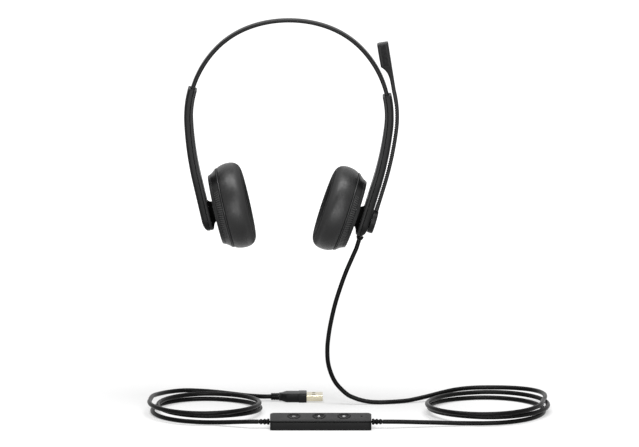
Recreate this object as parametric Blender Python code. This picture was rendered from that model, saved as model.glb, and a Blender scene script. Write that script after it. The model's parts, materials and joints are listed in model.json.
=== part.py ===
"""Wired office headset with two ear cups, a stowed boom microphone, an inline controller and a USB plug.

Metres, +Z up, +X towards the boom side, -Y towards the wearer's front. The origin is the middle of
the band's underside at the crown, where the headset rests on a head. Each side is modelled in one
side frame, whose origin is the centre of the band's arc, and the right side is the left one turned
half a turn about Z. The cord hangs from the right arm and lies in two coils on the desk below.
"""

import math

import bmesh
import bpy
from mathutils import Matrix, Vector

MM = 0.001

# Fits
CLEARANCE = 0.3 * MM
SLIDE_CLEARANCE = 0.35 * MM

# Headband
BAND_RADIUS = 74.2 * MM
CROWN_FLATTENING = 1.7 * MM
CROWN_HALF_ANGLE = math.radians(45)
BAND_END_ANGLE = math.radians(100)
BAND_WIDTH = 8.0 * MM
BAND_CROWN_THICKNESS = 2.2 * MM
BAND_END_THICKNESS = 3.0 * MM
BAND_TAPER_ANGLE = math.radians(60)
BAND_CORNER = 0.7 * MM
CORE_WIDTH = 5.4 * MM
CORE_THICKNESS = 0.6 * MM
CORE_INSET_ANGLE = math.radians(0.8)
BAND_STEPS = 52

# Side arms
ARM_MOUTH_ANGLE = math.radians(16.7)
ARM_BEND_START = math.radians(3)
ARM_LEAN = math.radians(13)
ARM_BEND_RADIUS = 250 * MM
ARM_TAIL_LENGTH = 40.0 * MM
ARM_MOUTH_THICKNESS = 6.6 * MM
ARM_FOOT_THICKNESS = 7.0 * MM
ARM_MOUTH_DEPTH = 12.6 * MM
ARM_FOOT_DEPTH = 18.0 * MM
ARM_END_ROUNDING = 9.0 * MM
ARM_CORNER = 1.7 * MM
COVER_SHARE = 0.34
CHANNEL_END_ANGLE = math.radians(11)
LEFT_EXTENSION = 0.0
RIGHT_EXTENSION = math.radians(4)
SCREW_ABOVE_PIVOT = 16.0 * MM
SCREW_HEAD_RADIUS = 2.1 * MM
SCREW_HEAD_HEIGHT = 1.2 * MM
SCREW_SHANK_RADIUS = 1.0 * MM
SCREW_LENGTH = 4.6 * MM

# Ear cups, along the cup axis from the seam between housing and cushion
PIVOT_ALONG_TAIL = 25.9 * MM
LEFT_CUP_TILT = 0.0
RIGHT_CUP_TILT = math.radians(-1.8)
ARM_TO_SEAM = 15.2 * MM
HOUSING_DEPTH = 7.2 * MM
BACK_RADIUS = 25.3 * MM
HOUSING_WALL = 1.6 * MM
BACK_COVER_HEIGHT = 2.2 * MM
VENT_FLARE = 1.2
RIM_RADIUS = 29.9 * MM
BAFFLE_THICKNESS = 1.4 * MM
BAFFLE_HOLE_RADIUS = 15.6 * MM
CUSHION_RADIUS = 32.0 * MM
CUSHION_WIDEST = 8.5 * MM
CUSHION_SEAT_RADIUS = 30.4 * MM
CUSHION_SQUARENESS = 0.83
CUSHION_FRONT = 17.9 * MM
EAR_HOLE_RADIUS = 13.6 * MM
NECK_GAP = 1.2 * MM
NECK_BASE_TALL = 22.6 * MM
NECK_BASE_DROP = 2.7 * MM
NECK_BASE_DEEP = 14.6 * MM
NECK_TIP_TALL = 15.6 * MM
NECK_TIP_DROP = 1.0 * MM
NECK_TIP_DEEP = 10.0 * MM
BALL_RADIUS = 2.4 * MM
STUD_RADIUS = 0.9 * MM
STUD_LENGTH = 4.2 * MM
STUD_HOLE_RADIUS = 1.7 * MM
MAGNET_RADIUS = 8.1 * MM
DRIVER_RADIUS = 15.2 * MM
DRIVER_FLANGE_RADIUS = 18.5 * MM
SCRIM_THICKNESS = 0.8 * MM

# Microphone boom, on the right arm
HUB_BELOW_PIVOT = 1.4 * MM
HUB_RADIUS = 8.7 * MM
HUB_THICKNESS = 3.9 * MM
PIN_RADIUS = 2.0 * MM
PIN_IN_HUB = 2.6 * MM
PIN_IN_ARM = 2.2 * MM
BOOM_WIDTH = 3.0 * MM
BOOM_DEPTH = 4.6 * MM
BOOM_OFFSET = 5.8 * MM
BOOM_TOP_ANGLE = math.radians(18.2)
CAPSULE_LEAN = math.radians(13.0)
CAPSULE_TAPER = 19.0 * MM
CAPSULE_FLARE = 4
CAPSULE_LENGTH = 36.4 * MM
CAPSULE_WIDTH = 8.2 * MM
CAPSULE_DEPTH = 8.4 * MM
MIC_RADIUS = 2.6 * MM
MIC_HEIGHT = 2.2 * MM
MIC_GRILLE_THICKNESS = 0.8 * MM
MIC_BELOW_TOP = 8.0 * MM

# Cord
CORD_DIAMETER = 3.3 * MM
DESK_Z = -289.5 * MM
LAYER_GAP = 0.5 * MM
COIL_CLIMB = math.radians(150)
COIL_POINTS_PER_TURN = 24
ROUTE_STEP = 9.0 * MM
ARM_RELIEF_LENGTH = 2.8 * MM
ARM_RELIEF_RADIUS = 2.7 * MM

# Inline controller
CONTROLLER_X = 23.5 * MM
CONTROLLER_Y = -80.6 * MM
CONTROLLER_LENGTH = 74.8 * MM
CONTROLLER_WIDTH = 17.0 * MM
BASE_HEIGHT = 6.8 * MM
LID_FRONT_RISE = 0.5 * MM
LID_BACK_RISE = 3.5 * MM
LID_CREST_SHARE = 0.76
CASE_WALL = 1.4 * MM
CASE_END_ROUNDING = 3.0 * MM
CORD_EXIT_HEIGHT = 4.9 * MM
RELIEF_LENGTH = 8.0 * MM
RELIEF_RADIUS = 2.4 * MM
RELIEF_BEAD_COUNT = 3
BUTTON_PITCH = 18.5 * MM
BUTTON_ROW_OFFSET = -1.3 * MM
BUTTON_RADIUS = 4.6 * MM
BUTTON_DEPTH_SHARE = 0.44
BUTTON_TRAVEL = 0.4 * MM
BUTTON_PROUD = 0.35 * MM
BUTTON_SKIRT = 1.5 * MM
BUTTON_DISH = 0.35 * MM
PLUNGER_RADIUS = 1.3 * MM
LENS_X = 30.1 * MM
LENS_RADIUS = 0.8 * MM
LENS_LENGTH = 1.5 * MM
BOARD_THICKNESS = 1.0 * MM
BOARD_END_INSET = 8.0 * MM
SWITCH_SIDE = 4.0 * MM
SWITCH_HEIGHT = 1.5 * MM

# USB plug
PLUG_BACK_X = -7.4 * MM
PLUG_Y = 11.4 * MM
OVERMOULD_LENGTH = 20.5 * MM
OVERMOULD_WIDTH = 13.5 * MM
OVERMOULD_HEIGHT = 7.0 * MM
OVERMOULD_STEP = 6.0 * MM
PLUG_RELIEF_LENGTH = 5.6 * MM
PLUG_RELIEF_RADIUS = 2.6 * MM
PLUG_RELIEF_CHAMFER = 0.3 * MM
SHELL_LENGTH = 11.9 * MM
SHELL_WIDTH = 12.0 * MM
SHELL_HEIGHT = 4.5 * MM
SHELL_WALL = 0.4 * MM
SHELL_INSET = 0.1 * MM
SHELL_SUNK = 5.0 * MM
TONGUE_THICKNESS = 1.5 * MM
CONTACT_WIDTH = 1.0 * MM
CONTACT_PITCH = 2.3 * MM
CONTACT_THICKNESS = 0.25 * MM

TURN_SEGMENTS = 32
INNER_TURN_SEGMENTS = 20
SMALL_TURN_SEGMENTS = 14

# Worked out from the driving dimensions
ARC_CENTRE = Vector((0, 0, BAND_CROWN_THICKNESS / 2 + CROWN_FLATTENING - BAND_RADIUS))
ARM_ARC_LENGTH = BAND_RADIUS * (ARM_MOUTH_ANGLE + ARM_BEND_START)
ARM_BEND_LENGTH = ARM_BEND_RADIUS * (ARM_LEAN - ARM_BEND_START)
ARM_LENGTH = ARM_ARC_LENGTH + ARM_BEND_LENGTH + ARM_TAIL_LENGTH
PIVOT_ALONG_ARM = ARM_ARC_LENGTH + ARM_BEND_LENGTH + PIVOT_ALONG_TAIL
HUB_ALONG_ARM = PIVOT_ALONG_ARM + HUB_BELOW_PIVOT
BACK_H = -HOUSING_DEPTH
NECK_TIP_H = BACK_H - NECK_GAP
ARM_INNER_H = ARM_FOOT_THICKNESS / 2 - ARM_TO_SEAM
ARM_OUTER_H = -ARM_FOOT_THICKNESS / 2 - ARM_TO_SEAM
HUB_OUTER_H = ARM_OUTER_H - CLEARANCE - HUB_THICKNESS
CORD_RADIUS = CORD_DIAMETER / 2
CORD_LIE_Z = DESK_Z + CORD_RADIUS
LAYER_HEIGHT = CORD_DIAMETER + LAYER_GAP


# Helpers
def clear_scene():
    """Removes whatever the scene holds."""
    for obj in list(bpy.data.objects):
        bpy.data.objects.remove(obj, do_unlink=True)


def material(name, colour, roughness, metallic=0.0):
    """A Principled material of one colour."""
    made = bpy.data.materials.new(name)
    made.use_nodes = True
    shader = made.node_tree.nodes["Principled BSDF"]
    shader.inputs["Base Color"].default_value = (*colour, 1)
    shader.inputs["Roughness"].default_value = roughness
    shader.inputs["Metallic"].default_value = metallic
    return made


def axis_empty(name, matrix, parent=None):
    """An empty that stands on a joint's axis and carries the pieces that move with it."""
    empty = bpy.data.objects.new(name, None)
    empty.empty_display_size = 5 * MM
    empty.parent = parent
    empty.matrix_local = matrix
    bpy.context.scene.collection.objects.link(empty)
    return empty


def piece(name, bm, finish, parent):
    """One named object from a bmesh, shaded smooth on its round faces."""
    bmesh.ops.recalc_face_normals(bm, faces=bm.faces)
    mesh = bpy.data.meshes.new(name)
    bm.to_mesh(mesh)
    bm.free()
    if finish:
        mesh.materials.append(finish)
    mesh.shade_smooth()
    mesh.set_sharp_from_angle(angle=math.radians(35))
    obj = bpy.data.objects.new(name, mesh)
    obj.parent = parent
    bpy.context.scene.collection.objects.link(obj)
    return obj


def turned(name, profile, finish, parent, segments=TURN_SEGMENTS):
    """A solid turned about its local Z from a closed outline of (radius, height) points."""
    bm = bmesh.new()
    corners = [bm.verts.new((radius, 0, height)) for radius, height in profile]
    edges = []
    for first, second in zip(corners, corners[1:] + corners[:1]):
        if first.co.x > 0 or second.co.x > 0:
            edges.append(bm.edges.new((first, second)))
    bmesh.ops.spin(
        bm, geom=corners + edges, cent=(0, 0, 0), axis=(0, 0, 1), angle=math.tau, steps=segments, use_merge=True
    )
    bmesh.ops.remove_doubles(bm, verts=bm.verts, dist=1e-6)
    return piece(name, bm, finish, parent)


def loft(name, rings, finish, parent):
    """A solid through rings of points, closed by a flat face at each end."""
    bm = bmesh.new()
    loops = [[bm.verts.new(point) for point in ring] for ring in rings]
    count = len(loops[0])
    for lower, upper in zip(loops, loops[1:]):
        for i in range(count):
            j = (i + 1) % count
            bm.faces.new((lower[i], lower[j], upper[j], upper[i]))
    bm.faces.new(loops[0])
    bm.faces.new(loops[-1])
    return piece(name, bm, finish, parent)


def block(name, size, centre, finish, parent, bevel=0.0):
    """A box of this size about this centre, its edges rounded by the bevel width."""
    bm = bmesh.new()
    bmesh.ops.create_cube(bm, size=1)
    bmesh.ops.scale(bm, vec=Vector(size), verts=bm.verts)
    if bevel:
        bmesh.ops.bevel(bm, geom=bm.edges, offset=bevel, segments=2, profile=0.5, affect="EDGES")
    bmesh.ops.translate(bm, vec=Vector(centre), verts=bm.verts)
    return piece(name, bm, finish, parent)


def cut(target, cutter, operation="DIFFERENCE"):
    """Cuts a hidden solid out of a piece."""
    cutter.hide_render = True
    cutter.display_type = "WIRE"
    modifier = target.modifiers.new(cutter.name, "BOOLEAN")
    modifier.operation = operation
    modifier.object = cutter


def rounded_outline(low, high, half_depth, corner, round_low, round_high):
    """Outline of a section in (across, depth), with chosen sides rounded at their corners."""
    corner = min(corner, 0.45 * half_depth, 0.45 * (high - low))
    arc = [math.radians(angle) for angle in (0, 45, 90)]
    points = []
    for across, sign, rounded in ((low, 1, round_low), (high, -1, round_high)):
        if not rounded:
            points.append((across, sign * half_depth))
            points.append((across, -sign * half_depth))
            continue
        inward = 1 if across == low else -1
        for side in (sign, -sign):
            bend = arc if side == -sign else arc[::-1]
            for angle in bend:
                points.append(
                    (
                        across + inward * corner * (1 - math.cos(angle)),
                        side * (half_depth - corner * (1 - math.sin(angle))),
                    )
                )
    return points


def ellipse(half_x, half_y, z, shift=0.0, count=28):
    """Points of an ellipse in a plane of constant Z, shifted along X."""
    angles = [math.tau * i / count for i in range(count)]
    return [(shift + half_x * math.cos(angle), half_y * math.sin(angle), z) for angle in angles]


def sphere_profile(radius, centre_h, steps=8):
    """Half circle, from top to bottom, that turns into a ball."""
    angles = [math.pi * i / steps for i in range(steps + 1)]
    points = [(radius * math.sin(angle), centre_h + radius * math.cos(angle)) for angle in angles]
    return [(0.0, points[0][1])] + points[1:-1] + [(0.0, points[-1][1])]


# Headband
def band_radius(angle):
    """Distance of the band's middle line from the arc's centre, at this angle from the crown."""
    if abs(angle) >= CROWN_HALF_ANGLE:
        return BAND_RADIUS
    return BAND_RADIUS - CROWN_FLATTENING * (0.5 + 0.5 * math.cos(math.pi * angle / CROWN_HALF_ANGLE))


def band_thickness(angle):
    """Thickness of the band, thinner at the crown and steady where the arms slide."""
    share = min(abs(angle) / BAND_TAPER_ANGLE, 1)
    return BAND_CROWN_THICKNESS + (BAND_END_THICKNESS - BAND_CROWN_THICKNESS) * share**1.5


def band_rings(end_angle, half_width, thickness_at, corner, steps=BAND_STEPS):
    """Sections of a strip along the band's middle line, from the left end to the right."""
    rings = []
    for step in range(steps + 1):
        angle = end_angle * (2 * step / steps - 1)
        outward = Vector((math.sin(angle), 0, math.cos(angle)))
        half = thickness_at(angle) / 2
        if corner:
            outline = rounded_outline(-half, half, half_width, corner, True, True)
        else:
            outline = rounded_outline(-half, half, half_width, 0, False, False)
        middle = ARC_CENTRE + outward * band_radius(angle)
        rings.append([middle + outward * across + Vector((0, depth, 0)) for across, depth in outline])
    return rings


def build_headband(finishes):
    """The moulded sleeve and the spring steel strip inside it."""
    sleeve = loft(
        "headband_sleeve",
        band_rings(BAND_END_ANGLE, BAND_WIDTH / 2, band_thickness, BAND_CORNER),
        finishes["sleeve"],
        None,
    )
    bore_angle = BAND_END_ANGLE + CORE_INSET_ANGLE
    bore = loft(
        "headband_bore",
        band_rings(bore_angle, CORE_WIDTH / 2 + CLEARANCE, lambda angle: CORE_THICKNESS + 2 * CLEARANCE, 0),
        None,
        None,
    )
    cut(sleeve, bore)
    loft(
        "headband_spring",
        band_rings(BAND_END_ANGLE - CORE_INSET_ANGLE, CORE_WIDTH / 2, lambda angle: CORE_THICKNESS, 0),
        finishes["steel"],
        None,
    )


# Side arms
def arm_place(along):
    """Point, outward normal and downward tangent of the arm's middle line, in the side frame."""
    if along <= ARM_ARC_LENGTH:
        lean = along / BAND_RADIUS - ARM_MOUTH_ANGLE
        point = Vector((-BAND_RADIUS * math.cos(lean), 0, -BAND_RADIUS * math.sin(lean)))
    else:
        first = ARM_BEND_START
        lean = min(first + (along - ARM_ARC_LENGTH) / ARM_BEND_RADIUS, ARM_LEAN)
        point = Vector((-BAND_RADIUS * math.cos(first), 0, -BAND_RADIUS * math.sin(first)))
        point += ARM_BEND_RADIUS * Vector((math.cos(first) - math.cos(lean), 0, math.sin(first) - math.sin(lean)))
    outward = Vector((-math.cos(lean), 0, -math.sin(lean)))
    down = Vector((math.sin(lean), 0, -math.cos(lean)))
    straight = along - ARM_ARC_LENGTH - ARM_BEND_LENGTH
    if straight > 0:
        point += down * straight
    return point, outward, down


def arm_size(along):
    """Half thickness and half depth of the arm, and how much of them its rounded end keeps."""
    share = min(along / (ARM_ARC_LENGTH + ARM_BEND_LENGTH), 1)
    half_thickness = (ARM_MOUTH_THICKNESS + (ARM_FOOT_THICKNESS - ARM_MOUTH_THICKNESS) * share) / 2
    half_depth = (ARM_MOUTH_DEPTH + (ARM_FOOT_DEPTH - ARM_MOUTH_DEPTH) * share) / 2
    into_end = max((along - ARM_LENGTH + ARM_END_ROUNDING) / ARM_END_ROUNDING, 0)
    thick_kept = math.sqrt(1 - (0.93 * into_end) ** 2)
    deep_kept = math.sqrt(1 - (0.985 * into_end) ** 2)
    return half_thickness, half_depth, thick_kept, deep_kept


def arm_stations():
    """Places along the arm for its sections, closer together at the rounded end."""
    body_end = ARM_LENGTH - ARM_END_ROUNDING
    stations = [body_end * i / 14 for i in range(15)]
    stations += [body_end + ARM_END_ROUNDING * share for share in (0.35, 0.62, 0.82, 0.94, 1.0)]
    return stations


def arm_shell(name, outer, finish, parent):
    """One of the arm's two shells: the outer one, or the cover on the side of the head."""
    rings = []
    for along in arm_stations():
        point, outward, _ = arm_place(along)
        half_thickness, half_depth, thick_kept, deep_kept = arm_size(along)
        parting = 2 * half_thickness * COVER_SHARE - half_thickness
        if outer:
            low = parting + CLEARANCE / 2
            high = low + (half_thickness - low) * thick_kept
        else:
            high = parting - CLEARANCE / 2
            low = -half_thickness
        outline = rounded_outline(low, high, half_depth * deep_kept, ARM_CORNER, not outer, outer)
        rings.append([point + outward * across + Vector((0, depth, 0)) for across, depth in outline])
    return loft(name, rings, finish, parent)


def channel_cutter(name, parent):
    """The curved channel, concentric with the band, in which the band's end slides."""
    half = BAND_END_THICKNESS / 2 + SLIDE_CLEARANCE
    half_depth = BAND_WIDTH / 2 + SLIDE_CLEARANCE
    start = -ARM_MOUTH_ANGLE - math.radians(4)
    rings = []
    for step in range(17):
        lean = start + (CHANNEL_END_ANGLE - start) * step / 16
        outward = Vector((-math.cos(lean), 0, -math.sin(lean)))
        outline = rounded_outline(-half, half, half_depth, 0, False, False)
        rings.append([outward * (BAND_RADIUS + across) + Vector((0, depth, 0)) for across, depth in outline])
    return loft(name, rings, None, parent)


def cup_matrix():
    """Cup frame in the side frame: origin at the seam, Z towards the head, X down the cup."""
    point, outward, down = arm_place(PIVOT_ALONG_ARM)
    seam = point - outward * ARM_TO_SEAM
    inward = -outward
    matrix = Matrix((down, Vector((0, 1, 0)), inward)).transposed().to_4x4()
    matrix.translation = seam
    return matrix


def screw_profile(extra):
    """Outline of the arm's screw, or of its hole when it is made larger by a clearance."""
    face = ARM_INNER_H + extra
    return [
        (0.0, face),
        (SCREW_HEAD_RADIUS + extra, face),
        (SCREW_HEAD_RADIUS + extra, ARM_INNER_H - SCREW_HEAD_HEIGHT - extra),
        (SCREW_SHANK_RADIUS + extra, ARM_INNER_H - SCREW_HEAD_HEIGHT - extra),
        (SCREW_SHANK_RADIUS + extra, ARM_INNER_H - SCREW_LENGTH - extra),
        (0.0, ARM_INNER_H - SCREW_LENGTH - extra),
    ]


def build_arm(side, slide_axis, finishes):
    """The arm's two shells with their channel, the screw that holds them, and the cup's neck."""
    outer = arm_shell(f"{side}_arm_shell", True, finishes["arm"], slide_axis)
    cover = arm_shell(f"{side}_arm_cover", False, finishes["cover"], slide_axis)
    channel = channel_cutter(f"{side}_channel", slide_axis)
    cut(outer, channel)
    cut(cover, channel)

    cup_place = cup_matrix()
    fixed = axis_empty(f"{side}_cup_line", cup_place, slide_axis)
    screw_place = axis_empty(f"{side}_screw_line", Matrix.Translation((-SCREW_ABOVE_PIVOT, 0, 0)), fixed)
    turned(f"{side}_arm_screw", screw_profile(0), finishes["steel"], screw_place, SMALL_TURN_SEGMENTS)
    screw_hole = turned(f"{side}_screw_hole", screw_profile(CLEARANCE), None, screw_place, SMALL_TURN_SEGMENTS)
    cut(outer, screw_hole)
    cut(cover, screw_hole)

    base_h = ARM_INNER_H + CLEARANCE
    waist = 0.62
    middle_h = base_h + (NECK_TIP_H - base_h) * 0.5
    middle_tall = NECK_BASE_TALL + (NECK_TIP_TALL - NECK_BASE_TALL) * waist
    middle_deep = NECK_BASE_DEEP + (NECK_TIP_DEEP - NECK_BASE_DEEP) * waist
    middle_drop = NECK_BASE_DROP + (NECK_TIP_DROP - NECK_BASE_DROP) * waist
    neck = loft(
        f"{side}_cup_neck",
        [
            ellipse(NECK_BASE_TALL / 2, NECK_BASE_DEEP / 2, base_h, NECK_BASE_DROP),
            ellipse(middle_tall / 2, middle_deep / 2, middle_h, middle_drop),
            ellipse(NECK_TIP_TALL / 2, NECK_TIP_DEEP / 2, NECK_TIP_H, NECK_TIP_DROP),
        ],
        finishes["neck"],
        fixed,
    )
    socket = turned(
        f"{side}_neck_socket", sphere_profile(BALL_RADIUS + CLEARANCE, NECK_TIP_H), None, fixed, SMALL_TURN_SEGMENTS
    )
    stud_end = NECK_TIP_H - STUD_LENGTH - CLEARANCE
    stud_hole = turned(
        f"{side}_stud_hole",
        [(0.0, NECK_TIP_H), (STUD_HOLE_RADIUS, NECK_TIP_H), (STUD_HOLE_RADIUS, stud_end), (0.0, stud_end)],
        None,
        fixed,
        SMALL_TURN_SEGMENTS,
    )
    cut(neck, socket)
    cut(neck, stud_hole)
    cut(cover, stud_hole)
    return fixed, outer


# Ear cups
def ball_profile():
    """Ball with the stud that runs back into the arm."""
    ball = sphere_profile(BALL_RADIUS, 0.0)
    lower = -math.sqrt(BALL_RADIUS**2 - STUD_RADIUS**2)
    upper_part = [point for point in ball[:-1] if point[1] > lower]
    return upper_part + [(STUD_RADIUS, lower), (STUD_RADIUS, -STUD_LENGTH), (0.0, -STUD_LENGTH)]


def back_cover_profile(pivot_h):
    """Housing back: a shallow dish with the ball's dimple in its middle boss."""
    dimple = BALL_RADIUS + CLEARANCE
    depth = pivot_h + dimple
    mouth = math.sqrt(dimple**2 - (BACK_H - pivot_h) ** 2)
    boss_top = depth + 0.7 * MM
    inner = BACK_H + HOUSING_WALL
    rim_h = BACK_H + BACK_COVER_HEIGHT
    swell = 1.3 * MM
    bend = [i / 4 for i in range(1, 4)]
    start = math.asin(mouth / dimple)
    dimple_points = [
        (dimple * math.sin(start * share), pivot_h + dimple * math.cos(start * share)) for share in bend
    ]
    return (
        [(0.0, boss_top), (BALL_RADIUS * 2.4, boss_top), (BALL_RADIUS * 2.4, inner)]
        + [(BACK_RADIUS - HOUSING_WALL, inner), (BACK_RADIUS + swell - HOUSING_WALL, rim_h)]
        + [(BACK_RADIUS + swell, rim_h), (BACK_RADIUS + 0.5 * MM, BACK_H + 0.5 * MM), (BACK_RADIUS, BACK_H)]
        + [(mouth, BACK_H)]
        + dimple_points[::-1]
        + [(0.0, depth)]
    )


def vent_ring_profile():
    """Flared ring between the back cover and the rim."""
    low = BACK_H + BACK_COVER_HEIGHT + CLEARANCE
    high = -CLEARANCE - BAFFLE_THICKNESS / 2 + CLEARANCE
    foot = BACK_RADIUS + 1.5 * MM
    flare = [(share, share**VENT_FLARE) for share in (0.0, 0.35, 0.7, 1.0)]
    outside = [(foot + (RIM_RADIUS - foot) * bulge, low + (high - low) * share) for share, bulge in flare]
    inside = [(radius - HOUSING_WALL, height) for radius, height in outside]
    return outside[::-1] + inside


def cushion_profile():
    """Ear cushion: widest at mid depth, drawn in at its seat, rolled over in front and into the ear hole."""
    back = BAFFLE_THICKNESS / 2 + CLEARANCE
    crown_radius = (CUSHION_RADIUS + EAR_HOLE_RADIUS) / 2
    roll = CUSHION_RADIUS - crown_radius
    rise = CUSHION_FRONT - CUSHION_WIDEST
    front = []
    for angle in (0, 20, 40, 60, 90, 118, 142, 163, 180):
        turn = math.radians(angle)
        across = math.copysign(abs(math.cos(turn)) ** CUSHION_SQUARENESS, math.cos(turn))
        lift = math.sin(turn) ** CUSHION_SQUARENESS if 0 < angle < 180 else 0
        front.append((crown_radius + roll * across, CUSHION_WIDEST + rise * lift))
    bulge = CUSHION_RADIUS - CUSHION_SEAT_RADIUS
    side = []
    for share in (0.3, 0.65):
        side.append((CUSHION_SEAT_RADIUS + bulge * (1 - (1 - share) ** 2), back + (CUSHION_WIDEST - back) * share))
    return front[::-1] + side[::-1] + [(CUSHION_SEAT_RADIUS, back), (EAR_HOLE_RADIUS, back)]


def build_cup(side, fixed, tilt, finishes):
    """One ear cup on its ball, tilted from the arm's face: housing, driver and cushion."""
    ball_axis = axis_empty(f"{side}_ball_centre", Matrix.Translation((0, 0, NECK_TIP_H)), fixed)
    turned(f"{side}_pivot_ball", ball_profile(), finishes["steel"], ball_axis, SMALL_TURN_SEGMENTS)
    tilted = Matrix.Rotation(tilt, 4, "Y") @ Matrix.Translation((0, 0, -NECK_TIP_H))
    cup = axis_empty(f"{side}_cup_frame", tilted, ball_axis)

    turned(f"{side}_back_cover", back_cover_profile(NECK_TIP_H), finishes["housing"], cup)
    turned(f"{side}_vent_ring", vent_ring_profile(), finishes["housing"], cup)

    half = BAFFLE_THICKNESS / 2
    baffle = [(BAFFLE_HOLE_RADIUS, half), (RIM_RADIUS, half), (RIM_RADIUS + 0.2 * MM, 0.0), (RIM_RADIUS, -half + CLEARANCE)]
    baffle += [(BAFFLE_HOLE_RADIUS, -half + CLEARANCE)]
    turned(f"{side}_baffle", baffle, finishes["rim"], cup)

    boss_top = NECK_TIP_H + BALL_RADIUS + CLEARANCE + 0.7 * MM
    magnet_back = boss_top + CLEARANCE
    magnet_front = magnet_back + 2.6 * MM
    magnet = [(0.0, magnet_front), (MAGNET_RADIUS, magnet_front), (MAGNET_RADIUS, magnet_back), (0.0, magnet_back)]
    turned(f"{side}_driver_magnet", magnet, finishes["steel"], cup, INNER_TURN_SEGMENTS)

    seat = -half
    frame_back = magnet_back + 0.5 * MM
    wall = 1.0 * MM
    hole = MAGNET_RADIUS + CLEARANCE
    frame = [
        (DRIVER_RADIUS - wall, half),
        (DRIVER_RADIUS, half),
        (DRIVER_RADIUS, seat),
        (DRIVER_FLANGE_RADIUS, seat),
        (DRIVER_FLANGE_RADIUS, seat - wall),
        (DRIVER_RADIUS, seat - wall),
        (DRIVER_RADIUS, frame_back),
        (hole, frame_back),
        (hole, frame_back + wall),
        (DRIVER_RADIUS - wall, frame_back + wall),
    ]
    turned(f"{side}_driver_frame", frame, finishes["driver"], cup, INNER_TURN_SEGMENTS)

    reach = DRIVER_RADIUS - wall - CLEARANCE
    lift = magnet_front + 0.4 * MM
    film = 0.4 * MM
    dome = [(0.0, 1.1 * MM), (0.35 * reach, 0.8 * MM), (0.62 * reach, 0.0), (0.82 * reach, 0.5 * MM), (reach, 0.5 * MM)]
    diaphragm = [(radius, lift + film + rise) for radius, rise in dome]
    diaphragm += [(radius, lift + rise) for radius, rise in dome[::-1]]
    turned(f"{side}_diaphragm", diaphragm, finishes["diaphragm"], cup, INNER_TURN_SEGMENTS)

    scrim_radius = EAR_HOLE_RADIUS - CLEARANCE
    scrim_back = half + CLEARANCE + 0.6 * MM
    scrim_front = scrim_back + SCRIM_THICKNESS
    crown = 0.5 * MM
    scrim = [(0.0, scrim_front + crown), (0.6 * scrim_radius, scrim_front + 0.7 * crown), (scrim_radius, scrim_front)]
    scrim += [(scrim_radius, scrim_back), (0.0, scrim_back)]
    turned(f"{side}_scrim", scrim, finishes["cloth"], cup)
    turned(f"{side}_cushion", cushion_profile(), finishes["cushion"], cup)


# Microphone boom
def boom_place(up):
    """Point, outward normal and upward tangent of the boom's middle line, up from the hub's axis."""
    along = HUB_ALONG_ARM - up
    if along >= 0:
        point, outward, down = arm_place(along)
    else:
        lean = along / BAND_RADIUS - ARM_MOUTH_ANGLE
        outward = Vector((-math.cos(lean), 0, -math.sin(lean)))
        down = Vector((math.sin(lean), 0, -math.cos(lean)))
        point = outward * BAND_RADIUS
    return point + outward * BOOM_OFFSET, outward, -down


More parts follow.
